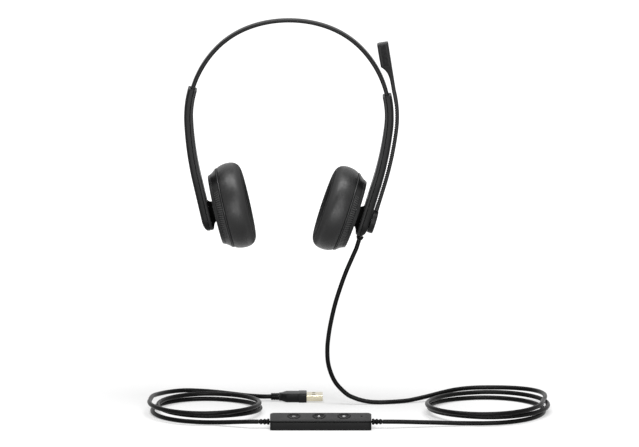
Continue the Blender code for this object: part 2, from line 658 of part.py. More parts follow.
def build_boom(fixed, arm_outer, finishes):
    """Hub on its pin, the boom that follows the arm upwards, and the microphone in its capsule."""
    hub_place = Matrix.Translation((HUB_BELOW_PIVOT, 0, HUB_OUTER_H))
    boom_axis = axis_empty("boom_axis", hub_place, fixed)
    chamfer = 0.6 * MM
    hub = turned(
        "boom_hub",
        [
            (0.0, HUB_THICKNESS),
            (HUB_RADIUS, HUB_THICKNESS),
            (HUB_RADIUS, chamfer),
            (HUB_RADIUS - chamfer, 0.0),
            (0.0, 0.0),
        ],
        finishes["arm"],
        boom_axis,
    )
    pin_out = HUB_THICKNESS - PIN_IN_HUB
    pin_in = HUB_THICKNESS + CLEARANCE + PIN_IN_ARM
    pin = [(0.0, pin_in), (PIN_RADIUS, pin_in), (PIN_RADIUS, pin_out), (0.0, pin_out)]
    pin_place = axis_empty("boom_pin_line", hub_place, fixed)
    turned("boom_pin", pin, finishes["steel"], pin_place, SMALL_TURN_SEGMENTS)
    bore_radius = PIN_RADIUS + CLEARANCE
    bore_in = pin_in + CLEARANCE
    bore_out = pin_out - CLEARANCE
    bore = turned(
        "boom_pin_bore",
        [(0.0, bore_in), (bore_radius, bore_in), (bore_radius, bore_out), (0.0, bore_out)],
        None,
        pin_place,
        SMALL_TURN_SEGMENTS,
    )
    cut(hub, bore)
    cut(arm_outer, bore)

    to_boom = (cup_matrix() @ hub_place).inverted()
    start = HUB_RADIUS + CLEARANCE
    stop = HUB_ALONG_ARM + BAND_RADIUS * (BOOM_TOP_ANGLE - ARM_MOUTH_ANGLE)
    half_width = BOOM_WIDTH / 2
    outline = rounded_outline(-half_width, half_width, BOOM_DEPTH / 2, 1.0 * MM, True, True)
    rings = []
    for step in range(25):
        point, outward, _ = boom_place(start + (stop - start) * step / 24)
        rings.append([to_boom @ (point + outward * across + Vector((0, depth, 0))) for across, depth in outline])
    loft("boom_stem", rings, finishes["boom"], boom_axis)

    top, outward, _ = boom_place(stop)
    up = Vector((math.sin(CAPSULE_LEAN), 0, math.cos(CAPSULE_LEAN)))
    across = Vector((-up.z, 0, up.x))
    foot = top + up * CLEARANCE + across * half_width
    capsule_rings = []
    body = CAPSULE_LENGTH - CAPSULE_TAPER
    heights = [(CAPSULE_TAPER * share, share**CAPSULE_FLARE) for share in (0.0, 0.35, 0.55, 0.7, 0.8, 0.9, 1.0)]
    heights += [(CAPSULE_TAPER + 0.5 * body, 1.04), (CAPSULE_LENGTH - 0.8 * MM, 1.04), (CAPSULE_LENGTH, 0.94)]
    for height, grown in heights:
        width = BOOM_WIDTH + (CAPSULE_WIDTH - BOOM_WIDTH) * grown
        depth_here = BOOM_DEPTH + (CAPSULE_DEPTH - BOOM_DEPTH) * grown
        section = rounded_outline(-width, 0, depth_here / 2, 1.6 * MM, True, True)
        centre = foot + up * height
        capsule_rings.append([to_boom @ (centre + across * a + Vector((0, d, 0))) for a, d in section])
    capsule = loft("mic_capsule", capsule_rings, finishes["boom"], boom_axis)

    inner_face = foot + up * (CAPSULE_LENGTH - MIC_BELOW_TOP) - across * CAPSULE_WIDTH * 1.02
    matrix = Matrix((up, Vector((0, 1, 0)), -across)).transposed().to_4x4()
    matrix.translation = inner_face
    mic_place = axis_empty("mic_line", to_boom @ matrix, boom_axis)
    grille_back = -MIC_GRILLE_THICKNESS
    grille = [(0.0, 0.0), (MIC_RADIUS, 0.0), (MIC_RADIUS, grille_back), (0.0, grille_back)]
    turned("mic_grille", grille, finishes["cloth"], mic_place, SMALL_TURN_SEGMENTS)
    element_front = grille_back - CLEARANCE
    element_back = element_front - MIC_HEIGHT
    element = [(0.0, element_front), (MIC_RADIUS, element_front), (MIC_RADIUS, element_back), (0.0, element_back)]
    turned("mic_element", element, finishes["steel"], mic_place, SMALL_TURN_SEGMENTS)
    bore_back = element_back - CLEARANCE
    bore_front = CAPSULE_WIDTH
    mic_bore_radius = MIC_RADIUS + CLEARANCE
    mic_bore = turned(
        "mic_bore",
        [(0.0, bore_front), (mic_bore_radius, bore_front), (mic_bore_radius, bore_back), (0.0, bore_back)],
        None,
        mic_place,
        SMALL_TURN_SEGMENTS,
    )
    cut(capsule, mic_bore)


# Inline controller
def lid_outline():
    """Side outline of the lid in (depth from the front, height over the desk)."""
    foot = BASE_HEIGHT + CLEARANCE
    crest = CONTROLLER_WIDTH * LID_CREST_SHARE
    back_rise = LID_BACK_RISE
    return [
        (0.0, foot),
        (0.4 * MM, foot + LID_FRONT_RISE),
        (crest, foot + back_rise),
        (crest + 1.4 * MM, foot + back_rise + 0.15 * MM),
        (crest + 2.8 * MM, foot + 0.85 * back_rise),
        (CONTROLLER_WIDTH - 0.4 * MM, foot + 0.45 * back_rise),
        (CONTROLLER_WIDTH, foot),
    ]


def base_outline():
    """Side outline of the base in (depth from the front, height over the desk)."""
    edge = 0.5 * MM
    return [
        (edge, 0.0),
        (0.0, edge),
        (0.0, BASE_HEIGHT),
        (CONTROLLER_WIDTH, BASE_HEIGHT),
        (CONTROLLER_WIDTH, edge),
        (CONTROLLER_WIDTH - edge, 0.0),
    ]


def case_part(name, outline, finish, parent):
    """An outline drawn out along the controller, drawn in towards both rounded ends."""
    half = CONTROLLER_LENGTH / 2
    middle = CONTROLLER_WIDTH / 2
    low = min(height for _, height in outline)
    rings = []
    stations = [(-1.0, 0.0), (-1.0, 0.45), (-1.0, 1.0), (1.0, 1.0), (1.0, 0.45), (1.0, 0.0)]
    for sign, share in stations:
        along = sign * (half - CASE_END_ROUNDING * share)
        kept = 1 - 0.16 * (1 - share) ** 2
        lifted = 1 - 0.1 * (1 - share) ** 2
        rings.append([(along, (depth - middle) * kept, low + (height - low) * lifted) for depth, height in outline])
    return loft(name, rings, finish, parent)


def slope_matrix(along):
    """Frame on the lid's sloping face, Z square to it, at this place along the controller."""
    foot = BASE_HEIGHT + CLEARANCE
    crest = CONTROLLER_WIDTH * LID_CREST_SHARE
    first = Vector((0, 0.4 * MM - CONTROLLER_WIDTH / 2, foot + LID_FRONT_RISE))
    last = Vector((0, crest - CONTROLLER_WIDTH / 2, foot + LID_BACK_RISE))
    slope = math.atan2(last.z - first.z, last.y - first.y)
    depth = CONTROLLER_WIDTH * (BUTTON_DEPTH_SHARE - 0.5)
    height = first.z + (depth - first.y) * math.tan(slope)
    return Matrix.Translation((along, depth, height)) @ Matrix.Rotation(slope, 4, "X")


def relief_profile(length, radius, end_radius, beads):
    """Flexible strain relief: a taper with round beads along it, from its housing outwards."""
    points = [(0.0, 0.0), (radius, 0.0)]
    for bead in range(beads):
        start = length * bead / beads
        step = length / beads
        size = radius + (end_radius - radius) * bead / beads
        groove = max(size - 0.7 * MM, end_radius * 0.8)
        points += [(size, start + 0.62 * step), (groove, start + 0.72 * step), (groove, start + 0.96 * step)]
    points += [(end_radius, length), (0.0, length)]
    return points[::-1]


def turn_to(direction):
    """Rotation that takes local Z to this direction, as a 4x4 matrix."""
    return Vector(direction).to_track_quat("Z", "Y").to_matrix().to_4x4()


def build_controller(finishes):
    """Base, lid, board with switches, three buttons, the light and both strain reliefs."""
    place = axis_empty("controller_place", Matrix.Translation((CONTROLLER_X, CONTROLLER_Y, DESK_Z)))
    base = case_part("controller_base", base_outline(), finishes["case"], place)
    lid = case_part("controller_lid", lid_outline(), finishes["case"], place)
    cavity_length = CONTROLLER_LENGTH - 2 * CASE_END_ROUNDING
    cavity_width = CONTROLLER_WIDTH - 2 * CASE_WALL
    cavity = block(
        "controller_cavity",
        (cavity_length, cavity_width, BASE_HEIGHT),
        (0, 0, CASE_WALL + BASE_HEIGHT / 2),
        None,
        place,
    )
    cut(base, cavity)

    board_z = CASE_WALL + CLEARANCE + BOARD_THICKNESS / 2
    board_size = (CONTROLLER_LENGTH - 2 * BOARD_END_INSET, cavity_width - 2 * CLEARANCE, BOARD_THICKNESS)
    block("controller_board", board_size, (0, 0, board_z), finishes["board"], place)
    switch_z = board_z + BOARD_THICKNESS / 2 + CLEARANCE + SWITCH_HEIGHT / 2
    switch_top = switch_z + SWITCH_HEIGHT / 2

    for index, name in enumerate(("minus", "mute", "plus")):
        along = BUTTON_ROW_OFFSET + BUTTON_PITCH * (index - 1)
        face = slope_matrix(along)
        button_axis = axis_empty(f"{name}_button_axis", face, place)
        drop = (face.translation.z - switch_top) / face[2][2]
        plunger_end = -drop + (BUTTON_TRAVEL + 2 * CLEARANCE)
        dish_radius = 0.72 * BUTTON_RADIUS
        profile = [
            (0.0, BUTTON_PROUD - BUTTON_DISH),
            (dish_radius, BUTTON_PROUD - 0.3 * BUTTON_DISH),
            (BUTTON_RADIUS - 0.4 * MM, BUTTON_PROUD),
            (BUTTON_RADIUS, BUTTON_PROUD - 0.4 * MM),
            (BUTTON_RADIUS, -BUTTON_SKIRT),
            (PLUNGER_RADIUS, -BUTTON_SKIRT),
            (PLUNGER_RADIUS, plunger_end),
            (0.0, plunger_end),
        ]
        turned(f"{name}_button", profile, finishes["button"], button_axis, 28)
        hole_radius = BUTTON_RADIUS + CLEARANCE
        reach = 2 * BASE_HEIGHT
        hole = turned(
            f"{name}_button_hole",
            [(0.0, reach), (hole_radius, reach), (hole_radius, -reach), (0.0, -reach)],
            None,
            button_axis,
            28,
        )
        cut(lid, hole)
        switch_y = face.translation.y + drop * face[1][2] * -1
        switch_size = (SWITCH_SIDE, SWITCH_SIDE, SWITCH_HEIGHT)
        block(f"{name}_switch", switch_size, (along, switch_y, switch_z), finishes["switch"], place)

    lens_axis = axis_empty("lens_line", slope_matrix(LENS_X), place)
    lens = [(0.0, 0.1 * MM), (LENS_RADIUS, 0.1 * MM), (LENS_RADIUS, -LENS_LENGTH), (0.0, -LENS_LENGTH)]
    turned("indicator_lens", lens, finishes["lens"], lens_axis, SMALL_TURN_SEGMENTS)
    lens_hole_radius = LENS_RADIUS + CLEARANCE
    reach = 2 * BASE_HEIGHT
    lens_hole = turned(
        "lens_hole",
        [(0.0, reach), (lens_hole_radius, reach), (lens_hole_radius, -reach), (0.0, -reach)],
        None,
        lens_axis,
        SMALL_TURN_SEGMENTS,
    )
    cut(lid, lens_hole)

    profile = relief_profile(RELIEF_LENGTH, RELIEF_RADIUS, CORD_RADIUS + 0.25 * MM, RELIEF_BEAD_COUNT)
    for name, sign in (("left_controller_relief", -1), ("right_controller_relief", 1)):
        start = sign * (CONTROLLER_LENGTH / 2 + CLEARANCE)
        matrix = Matrix.Translation((start, 0, CORD_EXIT_HEIGHT)) @ turn_to((sign, 0, 0))
        relief_place = axis_empty(f"{name}_line", matrix, place)
        turned(name, profile, finishes["rubber"], relief_place, SMALL_TURN_SEGMENTS)


# USB plug
def build_plug(finishes):
    """Overmould with its strain relief, and the metal shell round the tongue and its contacts."""
    height = DESK_Z + OVERMOULD_HEIGHT / 2
    place = axis_empty("plug_place", Matrix.Translation((PLUG_BACK_X, PLUG_Y, height)))
    half_width = OVERMOULD_WIDTH / 2
    half_height = OVERMOULD_HEIGHT / 2
    rings = []
    step_start = OVERMOULD_LENGTH - OVERMOULD_STEP
    slim = 0.94
    shape = [(0.0, 0.5, 0.9), (0.2 * OVERMOULD_LENGTH, 0.66, 0.93), (0.36 * OVERMOULD_LENGTH, slim, slim)]
    shape += [(step_start, slim, slim), (step_start + 0.3 * MM, 1.0, 1.0), (OVERMOULD_LENGTH, 1.0, 1.0)]
    for along, wide, tall in shape:
        outline = rounded_outline(-half_height * tall, half_height * tall, half_width * wide, 1.4 * MM, True, True)
        rings.append([(along, depth, across) for across, depth in outline])
    overmould = loft("plug_overmould", rings, finishes["case"], place)

    sunk = OVERMOULD_LENGTH - SHELL_SUNK
    pocket = block(
        "plug_pocket",
        (2 * SHELL_SUNK, SHELL_WIDTH + 2 * CLEARANCE, SHELL_HEIGHT + 2 * CLEARANCE),
        (sunk - CLEARANCE + SHELL_SUNK, 0, 0),
        None,
        place,
    )
    cut(overmould, pocket)

    shell_length = SHELL_SUNK + SHELL_LENGTH
    centre_x = sunk + shell_length / 2
    shell_rings = []
    slim_end = OVERMOULD_LENGTH + CLEARANCE / 2
    face_start = OVERMOULD_LENGTH + CLEARANCE
    for along, inset in ((sunk, SHELL_INSET), (slim_end, SHELL_INSET), (face_start, 0), (sunk + shell_length, 0)):
        half_w = SHELL_WIDTH / 2 - inset
        half_h = SHELL_HEIGHT / 2 - inset
        shell_rings.append([(along, y * half_w, z * half_h) for y, z in ((-1, -1), (1, -1), (1, 1), (-1, 1))])
    shell = loft("plug_shell", shell_rings, finishes["plate"], place)
    inside_width = SHELL_WIDTH - 2 * SHELL_WALL
    inside_height = SHELL_HEIGHT - 2 * SHELL_WALL
    hollow = block(
        "plug_hollow", (2 * shell_length, inside_width, inside_height), (centre_x, 0, 0), None, place
    )
    cut(shell, hollow)

    tongue_z = inside_height / 2 - CLEARANCE - TONGUE_THICKNESS / 2
    tongue_length = shell_length - 1.2 * MM
    tongue_size = (tongue_length, inside_width - 2 * CLEARANCE, TONGUE_THICKNESS)
    block("plug_tongue", tongue_size, (sunk + tongue_length / 2, 0, tongue_z), finishes["tongue"], place)

    contact_z = tongue_z - TONGUE_THICKNESS / 2 - CLEARANCE - CONTACT_THICKNESS / 2
    contact_length = tongue_length - 1.5 * MM
    carrier = 1.2 * MM
    row = 3 * CONTACT_PITCH + CONTACT_WIDTH
    bm = bmesh.new()
    bmesh.ops.create_cube(bm, size=1)
    bmesh.ops.scale(bm, vec=(carrier, row, CONTACT_THICKNESS), verts=bm.verts)
    bmesh.ops.translate(bm, vec=(sunk + carrier / 2, 0, contact_z), verts=bm.verts)
    contacts = piece("plug_contacts", bm, finishes["gold"], place)
    for index in range(4):
        across = CONTACT_PITCH * (index - 1.5)
        finger = block(
            f"contact_finger_{index}",
            (contact_length, CONTACT_WIDTH * 0.98, CONTACT_THICKNESS * 0.98),
            (sunk + 0.2 * MM + contact_length / 2, across, contact_z),
            None,
            place,
        )
        cut(contacts, finger, "UNION")

    profile = [
        (0.0, PLUG_RELIEF_LENGTH),
        (PLUG_RELIEF_RADIUS - PLUG_RELIEF_CHAMFER, PLUG_RELIEF_LENGTH),
        (PLUG_RELIEF_RADIUS, PLUG_RELIEF_LENGTH - PLUG_RELIEF_CHAMFER),
        (PLUG_RELIEF_RADIUS, 0.0),
        (0.0, 0.0),
    ]
    relief_place = axis_empty(
        "plug_relief_line", Matrix.Translation((-CLEARANCE, 0, 0)) @ turn_to((-1, 0, 0)), place
    )
    turned("plug_relief", profile, finishes["rubber"], relief_place, SMALL_TURN_SEGMENTS)


# Cord
def smooth_route(points, step=ROUTE_STEP):
    """Points about a step apart on a smooth curve through the route's own points."""
    padded = [2 * points[0] - points[1]] + points + [2 * points[-1] - points[-2]]
    route = []
    for before, first, second, after in zip(padded, padded[1:], padded[2:], padded[3:]):
        count = max(round((second - first).length / step), 1)
        for i in range(count):
            share = i / count
            route.append(
                0.5
                * (
                    2 * first
                    + (second - before) * share
                    + (2 * before - 5 * first + 4 * second - after) * share**2
                    + (3 * first - before - 3 * second + after) * share**3
                )
            )
    return route + [points[-1]]


class Coil:
    """Loose loops of cord piled on the desk from the floor upwards, one layer a turn."""

    def __init__(self, loops, first_angle, sweep, climb_angle):
        self.loops = [Vector(loop) * MM for loop in loops]
        self.radius = self.loops[0].z
        self.first_angle = math.radians(first_angle)
        self.sweep = math.radians(sweep)
        self.climb_angle = math.radians(climb_angle)

    def layer(self, angle):
        """How many layers up the cord lies here: it climbs one in a part of each turn."""
        sign = 1 if self.sweep > 0 else -1
        travelled = sign * (angle - self.climb_angle)
        turns = math.floor(travelled / math.tau)
        share = min((travelled - turns * math.tau) / COIL_CLIMB, 1)
        first_turns = math.floor(sign * (self.first_angle - self.climb_angle) / math.tau)
        layer = turns - first_turns - 1 + share * share * (3 - 2 * share)
        return min(max(layer, 0), len(self.loops) - 1)

    def place(self, angle):
        """Point of the cord's middle line at this angle. A loop is its middle and its radius."""
        layer = self.layer(angle)
        lower = min(int(layer), len(self.loops) - 2)
        middle_x, middle_y, radius = self.loops[lower].lerp(self.loops[lower + 1], layer - lower)
        height = CORD_LIE_Z + LAYER_HEIGHT * layer
        return Vector((middle_x + radius * math.cos(angle), middle_y + radius * math.sin(angle), height))

    def tangent(self, angle):
        """Direction in which the cord runs at this angle."""
        sign = 1 if self.sweep > 0 else -1
        return sign * Vector((-math.sin(angle), math.cos(angle), 0))

    def points(self):
        """Points along the loops, with a straight run of one diameter at each end."""
        last_angle = self.first_angle + self.sweep
        turn = CORD_DIAMETER * 2 / self.radius
        sign = 1 if self.sweep > 0 else -1
        count = round(abs(self.sweep) / math.tau * COIL_POINTS_PER_TURN)
        first = self.first_angle + sign * turn
        last = last_angle - sign * turn
        start = self.place(self.first_angle)
        end = self.place(last_angle)
        loops = [self.place(first + (last - first) * i / count) for i in range(count + 1)]
        lead_in = start + self.tangent(self.first_angle) * CORD_DIAMETER
        lead_out = end - self.tangent(last_angle) * CORD_DIAMETER
        return [start, lead_in] + loops + [lead_out, end]


def least_self_gap(points):
    """Least gap between stretches of one tube that lie well apart along it."""
    fine = smooth_route(points, CORD_DIAMETER / 2)
    apart = 3 * CORD_DIAMETER
    run = [0.0]
    for first, second in zip(fine, fine[1:]):
        run.append(run[-1] + (second - first).length)
    least = math.inf
    for i, first in enumerate(fine):
        for j in range(i + 1, len(fine)):
            if run[j] - run[i] > apart:
                least = min(least, (fine[j] - first).length)
    return least - CORD_DIAMETER


def cord_tube(name, points, finish, sides_resolution):
    """A tube along these points, drawn back a little at both ends so that it meets its neighbours."""
    trimmed = list(points)
    trimmed[0] = points[0] + (points[1] - points[0]).normalized() * CLEARANCE / 2
    trimmed[-1] = points[-1] + (points[-2] - points[-1]).normalized() * CLEARANCE / 2
    curve = bpy.data.curves.new(name, "CURVE")
    curve.dimensions = "3D"
    curve.bevel_depth = CORD_RADIUS
    curve.bevel_resolution = sides_resolution
    curve.use_fill_caps = True
    spline = curve.splines.new("POLY")
    spline.points.add(len(trimmed) - 1)
    for target, point in zip(spline.points, trimmed):
        target.co = (*point, 1)
    curve.materials.append(finish)
    obj = bpy.data.objects.new(name, curve)
    bpy.context.scene.collection.objects.link(obj)
    length = sum((second - first).length for first, second in zip(points, points[1:]))
    print(f"{name}: {length * 1000:.0f} mm long")
    return length


def lying(x, y, height=CORD_RADIUS):
    """A route point in millimetres across and back, at a height over the desk in metres."""
    return Vector((x * MM, y * MM, DESK_Z + height))


def hanging(x, z):
    """A route point of the hanging stretch, in millimetres, in the plane of the headset."""
    return Vector((x * MM, 0, z * MM))


RIGHT_COIL = Coil(((145.3, -27.2, 43.5), (148.7, -25.1, 43.0), (143.4, -30.5, 44.2)), -83, 798, 105)
LEFT_COIL = Coil(((-61.6, -27.4, 39.5), (-58.6, -26.0, 38.3), (-63.4, -32.0, 39.8)), -108, -797, -285)


def straight_end(point, direction):
    """The point, after one straight diameter that leads up to it in this direction."""
    return [point - direction * 2 * CORD_DIAMETER, point - direction * CORD_DIAMETER, point]


def build_cord(relief_end, relief_direction, finishes):
    """The cord's free stretches and its two coils, from the right arm to the plug."""
    finish = finishes["rubber"]
    start = relief_end + relief_direction * CLEARANCE / 2
    right_top_angle = RIGHT_COIL.first_angle + RIGHT_COIL.sweep
    into_coil = -RIGHT_COIL.tangent(right_top_angle)
    drop = [start, start + relief_direction * CORD_DIAMETER, start + relief_direction * 2 * CORD_DIAMETER]
    drop += [hanging(42.8, -187.5), hanging(38.4, -199.6), hanging(34.6, -211.7), hanging(31.7, -223.8)]
    drop += [hanging(29.5, -235.9), hanging(28.4, -248.0), hanging(29.4, -260.1), hanging(34.1, -272.2)]
    drop += [hanging(42.2, -281.1), hanging(48.1, -284.4), hanging(54.0, -286.4), hanging(60.0, -287.5)]
    drop += [lying(66.5, 0), lying(73, 0.8), lying(80, 2.4), lying(88, 4.8, 1.9 * MM), lying(96, 7.2, 3.0 * MM)]
    drop += [lying(104.5, 10.3, 4.4 * MM), lying(113.5, 14.8, 5.8 * MM), lying(124, 20.5, 6.8 * MM)]
    drop += [lying(136, 24.5, 7.2 * MM), lying(150, 25.5, 7.3 * MM), lying(164, 23.0, 7.6 * MM)]
    drop += [lying(176, 17.0, 8.0 * MM), lying(184.5, 8.0, 8.4 * MM), lying(189.0, -4.0, 8.9 * MM)]
    drop += [lying(189.6, -16.0, 9.1 * MM)]
    drop += straight_end(RIGHT_COIL.place(right_top_angle), into_coil)
    total = cord_tube("cord_drop", smooth_route(drop), finish, 2)

    right_coil = RIGHT_COIL.points()
    total += cord_tube("cord_coil_right", right_coil, finish, 1)

    exit_x = CONTROLLER_LENGTH / 2 + RELIEF_LENGTH + CLEARANCE * 1.5
    exit_z = DESK_Z + CORD_EXIT_HEIGHT
    along_x = Vector((1, 0, 0))
    right_exit = Vector((CONTROLLER_X + exit_x, CONTROLLER_Y, exit_z))
    lead = [right_exit, right_exit + along_x * CORD_DIAMETER, right_exit + along_x * 2 * CORD_DIAMETER]
    lead += [lying(86, -79.0, 4.4 * MM), lying(97, -77.5, 3.8 * MM), lying(108, -75.9, 3.2 * MM)]
    lead += [lying(120, -74.3, 2.5 * MM), lying(132, -72.8, 2.0 * MM)]
    lead += straight_end(RIGHT_COIL.place(RIGHT_COIL.first_angle), RIGHT_COIL.tangent(RIGHT_COIL.first_angle))
    total += cord_tube("cord_lead_right", smooth_route(lead), finish, 2)
    print(f"headset to controller: {total * 1000:.0f} mm")

    left_exit = Vector((CONTROLLER_X - exit_x, CONTROLLER_Y, exit_z))
    lead = [left_exit, left_exit - along_x * CORD_DIAMETER, left_exit - along_x * 2 * CORD_DIAMETER]
    lead += [lying(-38, -77.4, 4.0 * MM), lying(-48, -73.9, 3.0 * MM), lying(-58, -70.2, 2.1 * MM)]
    lead += straight_end(LEFT_COIL.place(LEFT_COIL.first_angle), LEFT_COIL.tangent(LEFT_COIL.first_angle))
    total = cord_tube("cord_lead_left", smooth_route(lead), finish, 2)

    left_coil = LEFT_COIL.points()
    total += cord_tube("cord_coil_left", left_coil, finish, 1)

    left_top_angle = LEFT_COIL.first_angle + LEFT_COIL.sweep
    off_coil = LEFT_COIL.place(left_top_angle)
    off_way = LEFT_COIL.tangent(left_top_angle)
    plug_x = PLUG_BACK_X - PLUG_RELIEF_LENGTH - CLEARANCE * 1.5
    plug_end = Vector((plug_x, PLUG_Y, DESK_Z + OVERMOULD_HEIGHT / 2))
    lead = [off_coil, off_coil + off_way * CORD_DIAMETER, off_coil + off_way * 2 * CORD_DIAMETER]
    lead += [lying(-100.8, -10.0, 8.8 * MM), lying(-96.5, 2.0, 7.6 * MM), lying(-89.0, 14.0, 6.5 * MM)]
    lead += [lying(-78.0, 22.0, 5.8 * MM), lying(-66.0, 24.3, 5.0 * MM), lying(-53.6, 22.8, 4.4 * MM)]
    lead += [lying(-42.0, 19.0, 3.9 * MM), lying(-31.5, 14.6, 3.6 * MM)]
    lead += straight_end(plug_end, along_x)
    total += cord_tube("cord_lead_plug", smooth_route(lead), finish, 2)
    print(f"controller to plug: {total * 1000:.0f} mm")

    for name, points in (("cord_coil_right", right_coil), ("cord_coil_left", left_coil)):
        print(f"{name}: least gap to itself {least_self_gap(points) * 1000:.2f} mm")


def build_arm_relief(slide_axis, to_world, finishes):
    """Strain relief at the foot of the right arm. Returns its end and direction in the world."""
    point, _, down = arm_place(ARM_LENGTH + CLEARANCE)
    matrix = Matrix.Translation(point) @ turn_to(down)
    relief_place = axis_empty("arm_relief_line", matrix, slide_axis)
    end_radius = CORD_RADIUS + 0.45 * MM
    profile = [
        (0.0, ARM_RELIEF_LENGTH),
        (end_radius, ARM_RELIEF_LENGTH),
        (ARM_RELIEF_RADIUS, 0.5 * ARM_RELIEF_LENGTH),
        (ARM_RELIEF_RADIUS, 0.0),
        (0.0, 0.0),
    ]
    turned("arm_cord_relief", profile, finishes["rubber"], relief_place, SMALL_TURN_SEGMENTS)
    end = to_world @ (point + down * (ARM_RELIEF_LENGTH + CLEARANCE / 2))
    return end, to_world.to_3x3() @ down


def main():
    """Builds the headset at rest."""
    clear_scene()
    finishes = {
        "sleeve": material("soft_black_sleeve", (0.022, 0.022, 0.024), 0.5),
        "arm": material("satin_grey_plastic", (0.040, 0.040, 0.043), 0.42),
        "cover": material("satin_grey_cover", (0.050, 0.050, 0.053), 0.45),
        "neck": material("black_plastic", (0.012, 0.012, 0.013), 0.5),
        "housing": material("dark_housing", (0.026, 0.026, 0.028), 0.5),
        "rim": material("rim_plastic", (0.075, 0.075, 0.080), 0.4),
        "cushion": material("black_leatherette", (0.018, 0.018, 0.019), 0.55),
        "cloth": material("black_scrim", (0.015, 0.015, 0.016), 0.9),
        "boom": material("black_boom", (0.024, 0.024, 0.026), 0.45),
        "rubber": material("black_cord_jacket", (0.014, 0.014, 0.015), 0.45),
        "case": material("satin_black_case", (0.022, 0.022, 0.024), 0.4),
        "button": material("black_button", (0.030, 0.030, 0.033), 0.4),
        "lens": material("smoked_lens", (0.020, 0.020, 0.022), 0.15),
        "board": material("green_board", (0.020, 0.120, 0.050), 0.5),
        "switch": material("switch_body", (0.050, 0.050, 0.050), 0.5),
        "driver": material("driver_frame", (0.100, 0.100, 0.105), 0.5),
        "diaphragm": material("clear_film", (0.350, 0.330, 0.290), 0.3),
        "steel": material("steel", (0.550, 0.550, 0.560), 0.3, 1.0),
        "plate": material("plated_shell", (0.780, 0.760, 0.700), 0.25, 1.0),
        "gold": material("gold_contacts", (0.900, 0.680, 0.280), 0.25, 1.0),
        "tongue": material("white_tongue", (0.700, 0.700, 0.680), 0.5),
    }
    build_headband(finishes)
    half_turn = Matrix.Rotation(math.pi, 4, "Z")
    sides = (
        ("left", Matrix.Identity(4), LEFT_EXTENSION, LEFT_CUP_TILT),
        ("right", half_turn, RIGHT_EXTENSION, RIGHT_CUP_TILT),
    )
    for side, turn, extension, tilt in sides:
        slid = Matrix.Translation(ARC_CENTRE) @ turn @ Matrix.Rotation(-extension, 4, "Y")
        slide_axis = axis_empty(f"{side}_slide_axis", slid)
        fixed, arm_outer = build_arm(side, slide_axis, finishes)
        build_cup(side, fixed, tilt, finishes)
        if side == "right":
            build_boom(fixed, arm_outer, finishes)
            relief_end, relief_direction = build_arm_relief(slide_axis, slid, finishes)
    build_controller(finishes)
    build_plug(finishes)
    build_cord(relief_end, relief_direction, finishes)


main()
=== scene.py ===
"""Looks of a wired office headset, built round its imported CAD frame.

The frame gives every joint and hard point. This script dresses it with finer rounded shells, ribs,
cushions, a cord and procedural materials, lights it as a plain studio shot and sets the camera at the
photograph's angle.
"""

import json
import logging
import math
from dataclasses import dataclass
from enum import Enum
from typing import Callable, Iterable, Optional, Sequence

import bmesh
import bpy
from mathutils import Matrix, Vector

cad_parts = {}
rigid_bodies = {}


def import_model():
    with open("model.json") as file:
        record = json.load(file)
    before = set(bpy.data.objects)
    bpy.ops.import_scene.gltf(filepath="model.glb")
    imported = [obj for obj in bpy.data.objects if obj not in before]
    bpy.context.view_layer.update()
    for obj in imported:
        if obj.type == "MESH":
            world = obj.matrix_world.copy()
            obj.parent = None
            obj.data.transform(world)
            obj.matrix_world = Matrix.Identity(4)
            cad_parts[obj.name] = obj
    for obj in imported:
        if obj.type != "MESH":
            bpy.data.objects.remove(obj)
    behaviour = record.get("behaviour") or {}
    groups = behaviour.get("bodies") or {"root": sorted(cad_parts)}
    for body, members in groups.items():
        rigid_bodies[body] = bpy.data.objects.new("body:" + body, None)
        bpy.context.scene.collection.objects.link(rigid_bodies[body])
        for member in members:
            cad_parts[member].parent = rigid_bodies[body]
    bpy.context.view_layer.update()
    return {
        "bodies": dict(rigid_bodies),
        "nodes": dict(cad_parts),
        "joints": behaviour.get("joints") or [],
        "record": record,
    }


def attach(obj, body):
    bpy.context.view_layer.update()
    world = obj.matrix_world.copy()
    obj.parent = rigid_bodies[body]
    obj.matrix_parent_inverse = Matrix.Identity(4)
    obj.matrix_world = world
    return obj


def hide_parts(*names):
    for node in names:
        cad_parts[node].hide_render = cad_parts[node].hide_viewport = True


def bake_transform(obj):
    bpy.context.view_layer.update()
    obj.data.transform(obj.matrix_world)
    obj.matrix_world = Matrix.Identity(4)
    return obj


logging.basicConfig(level=logging.INFO, format="%(levelname)s %(message)s")
LOG = logging.getLogger("headset")

MM = 0.001
# Vertex layer that weights the painted shade on the cushion's ear side
EAR_SIDE_SHADE_LAYER = "ear_side_shade"

Form = bmesh.types.BMesh
Piece = bpy.types.Object
Material = bpy.types.Material
Tree = bpy.types.NodeTree
Node = bpy.types.Node
Socket = bpy.types.NodeSocket
Outputs = bpy.types.NodeOutputs
Outline = list[tuple[float, float]]
Ring = list[Vector]
Colour = tuple[float, float, float]


@dataclass(frozen=True)
class SidePlace:
    """A side: its name, turn about Z, how far its arm is drawn out, and its cup's tilt, in radians."""

    label: str
    turn: float
    extension: float
    tilt: float


class Side(SidePlace, Enum):
    """The two sides of the headset."""

    LEFT = ("left", 0.0, 0.0, 0.0)
    RIGHT = ("right", math.pi, math.radians(4), math.radians(-1.8))


